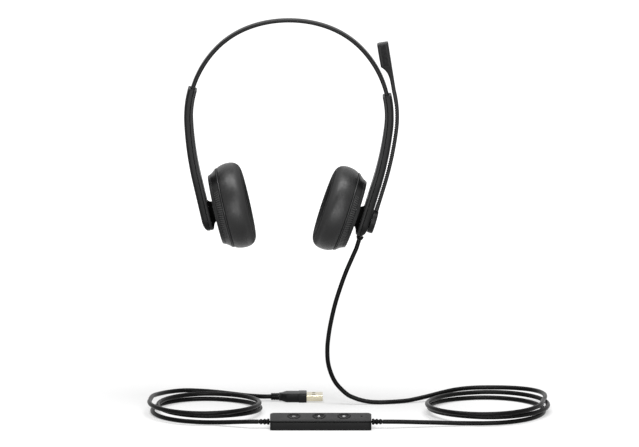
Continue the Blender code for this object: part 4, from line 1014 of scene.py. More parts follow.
@dataclass
class Stage:
    """Puts finished pieces on the frame's bodies, with their finish and the node that they stand for."""

    frame: dict
    materials: Materials

    SMOOTH_ANGLE = math.radians(38)

    def form(
        self,
        name: str,
        bm: Form,
        finish: Finish,
        matrix: Optional[Matrix] = None,
        second: Optional[Finish] = None,
    ) -> Piece:
        """Makes an object from a form, not yet on a body.

        Args:
            name: Name of the piece.
            bm: The form, which is used up.
            finish: Its finish.
            matrix: Where it goes, baked into its points.
            second: The finish of the faces that are marked with index 1.

        Returns:
            The object.
        """
        if matrix is not None:
            bmesh.ops.transform(bm, matrix=matrix, verts=bm.verts)
        mesh = bpy.data.meshes.new(name)
        bm.to_mesh(mesh)
        bm.free()
        mesh.shade_smooth()
        mesh.set_sharp_from_angle(angle=self.SMOOTH_ANGLE)
        obj = bpy.data.objects.new(name, mesh)
        obj.data.materials.append(self.materials.get(finish))
        if second is not None:
            obj.data.materials.append(self.materials.get(second))
        bpy.context.scene.collection.objects.link(obj)
        finish.slot
        return obj

    def cut(self, target: Piece, *cutters: Form) -> None:
        """Cuts forms out of a piece for good.

        Args:
            target: The piece.
            cutters: The forms, in the world's frame, which are used up.
        """
        finish = target.data.materials[0]
        for index, form in enumerate(cutters):
            tool = self.form(f"{target.name}_tool_{index}", form, Finish.STEEL)
            modifier = target.modifiers.new("cut", "BOOLEAN")
            modifier.operation = "DIFFERENCE"
            modifier.object = tool
            graph = bpy.context.evaluated_depsgraph_get()
            mesh = bpy.data.meshes.new_from_object(target.evaluated_get(graph))
            target.modifiers.clear()
            target.data = mesh
            bpy.data.objects.remove(tool, do_unlink=True)
        target.data.materials.clear()
        target.data.materials.append(finish)
        for polygon in target.data.polygons:
            polygon.material_index = 0
        target.data.shade_smooth()
        target.data.set_sharp_from_angle(angle=self.SMOOTH_ANGLE)

    def seat(self, obj: Piece, body: str, *nodes: str) -> Piece:
        """Puts a piece on a body and lets it stand for CAD nodes.

        Args:
            obj: The piece.
            body: Name of the body.
            nodes: Names of the nodes that it replaces.

        Returns:
            The piece.
        """
        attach(obj, body)
        if nodes:
            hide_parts(*nodes)
        return obj

    def paint_nodes(self, record: dict) -> None:
        """Gives every CAD node that stays in view the procedural material of its slot.

        Args:
            record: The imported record.
        """
        slots = {entry["node"]: entry["material_slot"] for entry in record["subparts"]}
        for name, obj in self.frame["nodes"].items():
            obj.data.materials.clear()
            obj.data.materials.append(self.materials.get(Finish(slots[name])))


@dataclass
class Guide:
    """The headset's lines: the band's arc, the arm's middle line and the frames of cups and boom."""

    sizes: Sizes

    TAPER = 1.5
    END_THICKNESS = 0.93
    END_DEPTH = 0.985

    def __post_init__(self) -> None:
        """Works out the lengths along the arm and where its faces lie."""
        sizes = self.sizes
        band, arm = sizes.band, sizes.arm
        self.arc_length = band.radius * (arm.mouth_angle + arm.bend_start)
        self.bend_length = arm.bend_radius * (arm.lean - arm.bend_start)
        self.length = self.arc_length + self.bend_length + arm.tail
        self.pivot = self.arc_length + self.bend_length + arm.pivot_along_tail
        self.hub = self.pivot + sizes.boom.hub_below_pivot
        self.neck_tip = -sizes.cup.depth - sizes.cup.neck_gap
        self.arm_inner = arm.foot_thickness / 2 - arm.to_seam
        self.hub_outer = -arm.foot_thickness / 2 - arm.to_seam - sizes.gap - sizes.boom.hub_thickness

    def side(self, side: Side) -> Matrix:
        """Frame of a side in the world, which both arms are drawn in."""
        slide = Matrix.Rotation(side.turn, 4, "Z") @ Matrix.Rotation(-side.extension, 4, "Y")
        return Matrix.Translation(self.sizes.band.centre) @ slide

    def band_radius(self, angle: float) -> float:
        """Distance of the band's middle line from the arc's centre, at an angle from the crown.

        Args:
            angle: Angle from the crown.

        Returns:
            The distance.
        """
        band = self.sizes.band
        turn = math.pi * min(abs(angle) / band.flat_angle, 1)
        return band.radius - band.flattening * (0.5 + 0.5 * math.cos(turn))

    def band_thickness(self, angle: float) -> float:
        """Thickness of the band at an angle from the crown.

        Args:
            angle: Angle from the crown.

        Returns:
            The thickness.
        """
        band = self.sizes.band
        share = min(abs(angle) / band.taper_angle, 1)
        return band.crown_thickness + (band.end_thickness - band.crown_thickness) * share**self.TAPER

    def arm_place(self, along: float) -> tuple[Vector, Vector, Vector]:
        """A place on the arm's middle line, in the side frame.

        Args:
            along: Distance from the mouth. A negative one goes on along the band's arc.

        Returns:
            The point, the outward normal and the downward tangent.
        """
        band, arm = self.sizes.band, self.sizes.arm
        if along <= self.arc_length:
            lean = along / band.radius - arm.mouth_angle
            point = Vector((-band.radius * math.cos(lean), 0, -band.radius * math.sin(lean)))
        else:
            first = arm.bend_start
            lean = min(first + (along - self.arc_length) / arm.bend_radius, arm.lean)
            point = Vector((-band.radius * math.cos(first), 0, -band.radius * math.sin(first)))
            swing = Vector((math.cos(first) - math.cos(lean), 0, math.sin(first) - math.sin(lean)))
            point += arm.bend_radius * swing
        outward = Vector((-math.cos(lean), 0, -math.sin(lean)))
        down = Vector((math.sin(lean), 0, -math.cos(lean)))
        straight = max(along - self.arc_length - self.bend_length, 0)
        return point + down * straight, outward, down

    def arm_size(self, along: float) -> tuple[float, float, float, float]:
        """Size of the arm at a place.

        Args:
            along: Distance from the mouth.

        Returns:
            Half thickness, half depth, and the share of each that the rounded end keeps.
        """
        arm = self.sizes.arm
        share = min(along / (self.arc_length + self.bend_length), 1)
        half_thickness = (arm.mouth_thickness + (arm.foot_thickness - arm.mouth_thickness) * share) / 2
        half_depth = (arm.mouth_depth + (arm.foot_depth - arm.mouth_depth) * share) / 2
        into_end = max((along - self.length + arm.end_rounding) / arm.end_rounding, 0)
        kept = [math.sqrt(1 - (most * into_end) ** 2) for most in (self.END_THICKNESS, self.END_DEPTH)]
        return half_thickness, half_depth, *kept

    def cup(self, side: Side) -> Matrix:
        """Frame of a cup as it hangs on its ball: origin at the seam, Z towards the head, X down the cup."""
        to_ball = Matrix.Translation((0, 0, self.neck_tip))
        return self.cup_line(side) @ to_ball @ Matrix.Rotation(side.tilt, 4, "Y") @ to_ball.inverted()

    def cup_line(self, side: Side) -> Matrix:
        """Frame of a cup before it is tilted, for the neck, the ball's stud and the boom's hub.

        Args:
            side: The side.

        Returns:
            Its matrix in the world.
        """
        point, outward, down = self.arm_place(self.pivot)
        matrix = Matrix((down, Vector((0, 1, 0)), -outward)).transposed().to_4x4()
        matrix.translation = point - outward * self.sizes.arm.to_seam
        return self.side(side) @ matrix


@dataclass
class PieceMaker:
    """Base of the makers, each of which dresses one part of the headset."""

    sizes: Sizes
    guide: Guide
    stage: Stage

    def __post_init__(self) -> None:
        """Starts the list of pieces."""
        self.gap = self.sizes.gap
        self.pieces: list[Piece] = []

    def make(self) -> None:
        """Makes the pieces."""
        raise NotImplementedError

    def add(
        self,
        name: str,
        form: Form,
        finish: Finish,
        matrix: Optional[Matrix],
        body: str,
        *nodes: str,
        cutters: Sequence[Form] = (),
        second: Optional[Finish] = None,
    ) -> Piece:
        """Makes a piece, cuts it, puts it on its body and remembers it.

        Args:
            name: Name of the piece.
            form: Its form, which is used up.
            finish: Its finish.
            matrix: Where it goes.
            body: Name of its body.
            nodes: Names of the CAD nodes that it stands for.
            cutters: Forms that are cut out of it, in the world's frame.
            second: The finish of the faces that are marked with index 1.

        Returns:
            The piece.
        """
        piece = self.stage.form(f"look_{name}", form, finish, matrix, second)
        if cutters:
            self.stage.cut(piece, *cutters)
        self.pieces.append(self.stage.seat(piece, body, *nodes))
        return piece


class HeadbandMaker(PieceMaker):
    """The moulded sleeve, with rounded edges."""

    STEPS = 220

    def make(self) -> None:
        """Makes the sleeve."""
        band = self.sizes.band
        rings = []
        for share in shares(self.STEPS):
            angle = band.end_angle * (2 * share - 1)
            outward = Vector((math.sin(angle), 0, math.cos(angle)))
            half = self.guide.band_thickness(angle) / 2
            outline = Shaper.rounded_outline(-half, half, band.width / 2, band.corner, band.corner)
            middle = band.centre + outward * self.guide.band_radius(angle)
            rings.append(Shaper.ring(middle, outward, outline))
        self.add("headband", Shaper.lofted(rings), Finish.SLEEVE, None, "headband", "headband_sleeve")


class ArmMaker(PieceMaker):
    """Both arms: outer shell, inner cover, and the neck that carries the cup."""

    BODY_STEPS = 70
    END_SHARES = (0.15, 0.3, 0.44, 0.57, 0.68, 0.78, 0.86, 0.92, 0.965, 1.0)
    LIP = 0.35 * MM
    LIP_DRAWN_IN = 0.25 * MM
    PARTING_CORNER = 0.25 * MM
    CHANNEL_STEPS = 40
    CHANNEL_AHEAD = math.radians(4)
    CHANNEL_CORNER = 0.6 * MM
    STUD_DEPTH = 4.2 * MM
    SCREW_RADIUS = 2.4 * MM
    SCREW_DEPTH = 4.0 * MM
    SCREW_ABOVE = 16.0 * MM
    NECK_STEPS = 12
    NECK_FLARE = 2.2
    BALL_STEPS = 16

    def make(self) -> None:
        """Makes the pieces of both arms."""
        for side in Side:
            self._shells(side)
            self._neck(side)

    def _stations(self) -> list[float]:
        """Places along the arm for its sections.

        Returns:
            The places.
        """
        rounding = self.sizes.arm.end_rounding
        body_end = self.guide.length - rounding
        body = [body_end * share for share in shares(self.BODY_STEPS)[1:]]
        return [0.0, self.LIP] + body + [body_end + rounding * share for share in self.END_SHARES]

    def _shell(self, outer: bool) -> Form:
        """One shell in the side frame.

        Args:
            outer: Whether it is the outer shell or the cover on the side of the head.

        Returns:
            The form.
        """
        arm, gap = self.sizes.arm, self.gap
        rings = []
        for along in self._stations():
            point, outward, _ = self.guide.arm_place(along)
            half_thickness, half_depth, thick_kept, deep_kept = self.guide.arm_size(along)
            parting = 2 * half_thickness * arm.cover_share - half_thickness
            drawn_in = 0.0 if along else self.LIP_DRAWN_IN
            if outer:
                low = parting + gap / 2
                high = low + (half_thickness - low) * thick_kept - drawn_in
                corners = (self.PARTING_CORNER, arm.outer_corner)
            else:
                high = parting - gap / 2
                low = drawn_in - half_thickness
                corners = (arm.inner_corner, self.PARTING_CORNER)
            outline = Shaper.rounded_outline(low, high, half_depth * deep_kept - drawn_in, *corners)
            rings.append(Shaper.ring(point, outward, outline))
        return Shaper.lofted(rings)

    def _channel(self, side: Side) -> Form:
        """The curved channel in which the band slides, in the world's frame.

        Args:
            side: The side.

        Returns:
            The form.
        """
        band, arm = self.sizes.band, self.sizes.arm
        half = band.end_thickness / 2 + arm.channel_clearance
        half_depth = band.width / 2 + arm.channel_clearance
        outline = Shaper.rounded_outline(-half, half, half_depth, self.CHANNEL_CORNER, self.CHANNEL_CORNER)
        start = -arm.mouth_angle - self.CHANNEL_AHEAD
        rings = []
        for share in shares(self.CHANNEL_STEPS):
            lean = start + (arm.channel_end - start) * share
            outward = Vector((-math.cos(lean), 0, -math.sin(lean)))
            rings.append(Shaper.ring(outward * band.radius, outward, outline))
        return Shaper.moved(Shaper.lofted(rings), self.guide.side(side))

    def _shells(self, side: Side) -> None:
        """Makes the two shells of an arm.

        Args:
            side: The side.
        """
        for part, outer, finish in (("shell", True, Finish.ARM), ("cover", False, Finish.COVER)):
            cutters = [self._channel(side)]
            if not outer:
                cutters += [self._stud_hole(side), self._screw_hole(side)]
            node = f"{side.label}_arm_{part}"
            matrix = self.guide.side(side)
            self.add(node, self._shell(outer), finish, matrix, f"{side.label}_arm", node, cutters=cutters)

    def _stud_hole(self, side: Side) -> Form:
        """Hole for the ball's stud, in the world's frame.

        Args:
            side: The side.

        Returns:
            The hole.
        """
        top = self.guide.neck_tip
        hole = Shaper.peg(self.sizes.cup.stud_hole, top - self.STUD_DEPTH - self.gap, top, 24)
        return Shaper.moved(hole, self.guide.cup_line(side))

    def _screw_hole(self, side: Side) -> Form:
        """Counterbore of the arm's screw, in the world's frame.

        Args:
            side: The side.

        Returns:
            The hole.
        """
        face = self.guide.arm_inner + self.gap
        hole = Shaper.peg(self.SCREW_RADIUS, face - self.SCREW_DEPTH, face, 32)
        return Shaper.moved(hole, self.guide.cup_line(side) @ Matrix.Translation((-self.SCREW_ABOVE, 0, 0)))

    def _neck(self, side: Side) -> None:
        """Makes the neck between arm and cup.

        Args:
            side: The side.
        """
        cup = self.sizes.cup
        base, tip = self.guide.arm_inner + self.gap, self.guide.neck_tip
        rings = []
        for share in shares(self.NECK_STEPS):
            way = 1 - (1 - share) ** self.NECK_FLARE
            tall, deep, drop = Vector(cup.neck_base).lerp(Vector(cup.neck_tip), way)
            rings.append(Shaper.ellipse(tall / 2, deep / 2, Vector((drop, 0, base + (tip - base) * share))))
        matrix = self.guide.cup_line(side)
        radius = cup.ball_radius + self.gap
        bend = [math.pi * share for share in shares(self.BALL_STEPS)[1:-1]]
        ball = [(radius * math.sin(a), tip + radius * math.cos(a)) for a in bend]
        socket = Shaper.turned([(0.0, tip + radius)] + ball + [(0.0, tip - radius)], 32)
        cutters = [Shaper.moved(socket, matrix), self._stud_hole(side)]
        name, body, node = f"{side.label}_neck", f"{side.label}_arm", f"{side.label}_cup_neck"
        self.add(name, Shaper.lofted(rings), Finish.NECK, matrix, body, node, cutters=cutters)


class CupMaker(PieceMaker):
    """Both cups: back cover, ribbed vent ring, rim, scrim and soft cushion."""

    SEGMENTS = 128
    CUSHION_SEGMENTS = 144
    BOSS_SHARE = 2.4
    BOSS_WALL = 0.7 * MM
    BACK_SWELL = 1.3 * MM
    BACK_ROUNDING = 0.6 * MM
    RING_GROOVE = 17.0 * MM
    GROOVE_HALF = 0.4 * MM
    GROOVE_DEPTH = 0.25 * MM
    VENT_FOOT = 1.5 * MM
    VENT_STEPS = 14
    RIB_SHAPE = (0.0, 0.0, 0.75, 1.0, 1.0, 0.75)
    RIB_CREST = (0, 1, 5)
    RIB_SPAN = (0.08, 0.9)
    VENTED_COSINE = (-0.62, 0.66)
    RIM_SET_IN = 0.3 * MM
    SCRIM_SEAT = 0.6 * MM
    SCRIM_THICKNESS = 0.8 * MM
    SCRIM_CROWN = 0.5 * MM
    SEAT_CORNER = ((-0.5 * MM, 0.0), (-0.15 * MM, 0.1 * MM), (0.0, 0.35 * MM))
    HOLE_HEIGHTS = (0.35, 0.2)
    FILL = 0.75
    CLOTH_FRAMES = 14
    CLOTH_CAP = 0.8 * MM
    CLOTH_HELD = 1.4 * MM
    CLOTH = {
        "quality": 6,
        "mass": 0.1,
        "tension_stiffness": 18,
        "compression_stiffness": 18,
        "shear_stiffness": 6,
        "bending_stiffness": 2.0,
        "use_pressure": True,
        "uniform_pressure_force": 1.2,
    }
    HOLE_SLACK = 0.2 * MM
    SWELL_SLACK = 0.3 * MM
    # Where the ear side's painted shade starts to come in, and over what span of the normal's lean
    SHADE_START = 0.25
    SHADE_RANGE = 0.6
    EAR_FACE = 0.92
    GATHERS = ((46, 1.0, 0.0), (29, 0.6, 1.3), (71, 0.4, 0.4))
    GATHER_DEPTH = 0.07 * MM
    HOLE_GATHER = 1.3
    SKIRT_RADIUS = 26 * MM
    SKIRT_HEIGHT = 0.1
    HOLE_ROLL = 1.6 * MM
    HOLE_REACH = 2.4 * MM
    HOLE_HEIGHT = 0.45
    SLACK_DEPTH = 0.10 * MM
    SLACK_WAVES = (3, 0.7)
    OUTER_RADIUS = 22 * MM
    SEWN_HEIGHT = 0.5 * MM

    def make(self) -> None:
        """Makes the pieces of both cups."""
        cushion = self._cushion_form()
        for side in Side:
            matrix = self.guide.cup(side)
            body = f"{side.label}_cup"
            pieces = (
                ("back_cover", self._back_cover(), Finish.HOUSING, None),
                ("vent_ring", self._vent_ring(), Finish.HOUSING, Finish.RIB_HIGHLIGHT),
                ("baffle", self._rim(), Finish.RIM, None),
                ("scrim", self._scrim(), Finish.CLOTH, None),
                # The cushion's ear-side faces take the leatherette's copy with painted shade
                ("cushion", cushion.copy(), Finish.CUSHION, Finish.EAR_SIDE_SHADE),
            )
            for part, form, finish, second in pieces:
                name = f"{side.label}_{part}"
                piece = self.add(name, form, finish, matrix, body, name, second=second)
        cushion.free()

    def _back_cover(self) -> Form:
        """The housing's back: a shallow dish with a rounded edge and a fine ring groove.

        Returns:
            The form.
        """
        cup = self.sizes.cup
        pivot = self.guide.neck_tip
        dimple = cup.ball_radius + self.gap
        back = -cup.depth
        mouth = math.sqrt(dimple**2 - (back - pivot) ** 2)
        bend = [math.asin(mouth / dimple) * share for share in shares(10)[1:-1]]
        hollow = [(dimple * math.sin(a), pivot + dimple * math.cos(a)) for a in bend]
        boss = pivot + dimple + self.BOSS_WALL
        boss_radius = cup.ball_radius * self.BOSS_SHARE
        inner = back + cup.wall
        rim = back + cup.back_height
        outer = cup.back_radius + self.BACK_SWELL
        rounding = self.BACK_ROUNDING
        bend = angles(0, 9, 11)
        edge = [(cup.back_radius + rounding * math.sin(a), back + rounding * (1 - math.cos(a))) for a in bend]
        groove, half = self.RING_GROOVE, self.GROOVE_HALF
        profile = [(0.0, boss), (boss_radius, boss), (boss_radius, inner)]
        profile += [(cup.back_radius - cup.wall, inner), (outer - cup.wall, rim), (outer, rim)] + edge[::-1]
        profile += [(groove + half, back), (groove, back + self.GROOVE_DEPTH), (groove - half, back)]
        profile += [(mouth, back)] + hollow[::-1] + [(0.0, pivot + dimple)]
        return Shaper.turned(profile, self.SEGMENTS)

    def _vent_ring(self) -> Form:
        """The flared ring, ribbed where it is vented, with the ribs' crests marked with index 1 for their
        painted highlight.

        Returns:
            The form.
        """
        cup = self.sizes.cup
        low = -cup.depth + cup.back_height + self.gap
        high = -cup.baffle / 2
        foot = cup.back_radius + self.VENT_FOOT
        first, last = self.RIB_SPAN
        per_rib = len(self.RIB_SHAPE)
        count = cup.ribs * per_rib
        rings = []
        for step in range(count):
            angle = math.tau * step / count
            groove = cup.rib_depth * self.RIB_SHAPE[step % per_rib] if self._vented(angle) else 0.0
            line = []
            for share in shares(self.VENT_STEPS):
                radius = foot + (cup.rim_radius - foot) * share**cup.vent_flare
                depth = groove if first < share < last else 0.0
                line.append((radius - depth, low + (high - low) * share))
            line += [(cup.rim_radius - cup.wall, high), (foot - cup.wall, low)]
            rings.append([Vector((r * math.cos(angle), r * math.sin(angle), h)) for r, h in line])
        form = Shaper.lofted(rings, closed=True)
        form.verts.index_update()
        for face in form.faces:
            steps, rows = zip(*(divmod(vert.index, len(rings[0])) for vert in face.verts))
            step = min(steps) if max(steps) - min(steps) == 1 else max(steps)
            ribbed = max(rows) - min(rows) == 1 and 0 < min(rows) < self.VENT_STEPS - 1
            # The crests take the painted highlight; the grooves keep the housing's black
            crest = step % per_rib in self.RIB_CREST and self._vented(math.tau * step / count)
            face.material_index = int(ribbed and crest)
        return form

    def _vented(self, angle: float) -> bool:
        """Whether the ring has ribs at an angle round it."""
        return self.VENTED_COSINE[0] < math.cos(angle) < self.VENTED_COSINE[1]

    def _rim(self) -> Form:
        """The baffle, whose rounded edge shows as a pale line under the cushion.

        Returns:
            The form.
        """
        cup = self.sizes.cup
        half = cup.baffle / 2
        low = -half + self.gap
        middle, reach = (half + low) / 2, (half - low) / 2
        radius = cup.rim_radius - self.RIM_SET_IN
        edge = [(radius + reach * math.cos(a), middle + reach * math.sin(a)) for a in angles(90, -20, 10)]
        return Shaper.turned([(cup.baffle_hole, half)] + edge + [(cup.baffle_hole, low)], self.SEGMENTS)

    def _scrim(self) -> Form:
        """The crowned cloth disc in the ear hole.

        Returns:
            The form.
        """
        cup, gap = self.sizes.cup, self.gap
        radius = cup.ear_hole - gap
        back = cup.baffle / 2 + gap + self.SCRIM_SEAT
        front = back + self.SCRIM_THICKNESS
        top = [(radius * share, front + self.SCRIM_CROWN * (1 - share**2)) for share in shares(10)]
        return Shaper.turned(top + [(radius, back), (0.0, back)], 64)

    @property
    def _crown(self) -> float:
        """Radius of the cushion's crown."""
        return (self.sizes.cup.cushion_radius + self.sizes.cup.ear_hole) / 2

    def _cushion_profile(self) -> Outline:
        """Outline of the cushion: drawn in at its seat, widest half way, rolled over into the ear hole.

        Returns:
            The outline.
        """
        cup = self.sizes.cup
        back = cup.baffle / 2 + self.gap
        crown = self._crown
        roll = cup.cushion_radius - crown
        rise = cup.cushion_front - cup.cushion_widest
        profile: Outline = [(cup.ear_hole, back)]
        profile += [(cup.cushion_seat + out, back + up) for out, up in self.SEAT_CORNER]
        bulge = cup.cushion_radius - cup.cushion_seat
        for k in range(1, 10):
            share = 0.04 + 0.096 * k
            radius = cup.cushion_seat + bulge * (1 - (1 - share) ** 2)
            profile.append((radius, back + (cup.cushion_widest - back) * share))
        for turn in angles(0, 5, 37):
            across = math.copysign(abs(math.cos(turn)) ** cup.squareness, math.cos(turn))
            lift = max(math.sin(turn), 0.0) ** cup.squareness
            profile.append((crown + roll * across, cup.cushion_widest + rise * lift))
        return profile + [(cup.ear_hole, share * cup.cushion_front) for share in self.HOLE_HEIGHTS]

    def _cushion_form(self) -> Form:
        """The cushion in the cup's frame, swollen by cloth pressure.

        Returns:
            The form.
        """
        form = Shaper.turned(self._cushion_profile(), self.CUSHION_SEGMENTS)
        self._swell(form)
        self._pucker(form)
        self._mark_ear_side_shade(form)
        return form

    def _mark_ear_side_shade(self, form: Form) -> None:
        """Marks where the cushion looks towards the ear or into its hole, where the leatherette gets its
        painted shade: a paler, rougher copy that reflects less.

        Args:
            form: The cushion, changed in place.
        """
        form.normal_update()
        layer = form.verts.layers.float.new(EAR_SIDE_SHADE_LAYER)
        for vert in form.verts:
            inside = math.hypot(vert.co.x, vert.co.y) < self._crown
            share = clamped((vert.normal.z - self.SHADE_START) / self.SHADE_RANGE)
            vert[layer] = 1.0 if inside else eased(share)
        for face in form.faces:
            middle = face.calc_center_median()
            inside = math.hypot(middle.x, middle.y) < self._crown
            face.material_index = int(inside or face.normal.z > self.EAR_FACE)

    def _swell(self, form: Form) -> None:
        """Lets cloth pressure fill the cushion's skin, with its back held on the baffle.

        Args:
            form: The plain cushion, changed in place.
        """
        scene = bpy.context.scene
        mesh = bpy.data.meshes.new("cushion_skin")
        form.to_mesh(mesh)
        obj = bpy.data.objects.new("cushion_skin", mesh)
        scene.collection.objects.link(obj)
        top = self.sizes.cup.baffle / 2 + self.CLOTH_HELD
        held = [v.index for v in mesh.vertices if v.co.z < top]
        obj.vertex_groups.new(name="seat").add(held, 1.0, "REPLACE")
        start = [v.co.copy() for v in mesh.vertices]
        cloth = obj.modifiers.new("pressure", "CLOTH")
        for name, value in self.CLOTH.items():
            setattr(cloth.settings, name, value)
        cloth.settings.vertex_group_mass = "seat"
        cloth.settings.effector_weights.gravity = 0
        cloth.collision_settings.use_collision = False
        for number in range(1, self.CLOTH_FRAMES + 1):
            scene.frame_set(number)
        graph = bpy.context.evaluated_depsgraph_get()
        moved = [v.co.copy() for v in obj.evaluated_get(graph).data.vertices]
        for vert, before, after in zip(form.verts, start, moved):
            way = after - before
            if way.length > self.CLOTH_CAP:
                way = way.normalized() * self.CLOTH_CAP
            vert.co = before + way
        scene.frame_set(1)
        bpy.data.objects.remove(obj, do_unlink=True)
        self._keep_inside(form)

    def _keep_inside(self, form: Form) -> None:
        """Keeps the cushion off the baffle, out of the scrim and inside its CAD solid's reach.

        Args:
            form: The cushion, changed in place.
        """
        cup = self.sizes.cup
        back = cup.baffle / 2 + self.gap
        for vert in form.verts:
            radius = math.hypot(vert.co.x, vert.co.y)
            wanted = min(max(radius, cup.ear_hole - self.HOLE_SLACK), cup.cushion_radius + self.SWELL_SLACK)
            vert.co.x *= wanted / radius
            vert.co.y *= wanted / radius
            vert.co.z = min(max(vert.co.z, back), cup.cushion_front + self.SWELL_SLACK)

    def _pucker(self, form: Form) -> None:
        """Draws fine gathers into the skirt and into the roll round the ear hole, where the cover is sewn.

        Args:
            form: The cushion, changed in place.
        """
        cup = self.sizes.cup
        front = cup.cushion_front
        skirt = self.SKIRT_HEIGHT * front
        count, phase = self.SLACK_WAVES
        for vert in form.verts:
            if vert.co.z <= cup.baffle / 2 + self.SEWN_HEIGHT:
                continue
            radius = math.hypot(vert.co.x, vert.co.y)
            angle = math.atan2(vert.co.y, vert.co.x)
            near = max(0.0, 1 - abs(vert.co.z - skirt) / skirt) if radius > self.SKIRT_RADIUS else 0.0
            if vert.co.z > self.HOLE_HEIGHT * front:
                from_roll = abs(radius - cup.ear_hole - self.HOLE_ROLL)
                near += self.HOLE_GATHER * max(0.0, 1 - from_roll / self.HOLE_REACH)
            wave = sum(size * math.sin(waves * angle + start) for waves, size, start in self.GATHERS)
            inward = self.GATHER_DEPTH * near * (wave - 1.0)
            belly = math.sin(math.pi * clamped(vert.co.z / front))
            slack = self.SLACK_DEPTH * math.sin(count * angle + phase) * belly
            outwards = 1 if radius > self.OUTER_RADIUS else -1
            share = (radius + (inward + slack) * outwards) / radius
            vert.co.x *= share
            vert.co.y *= share


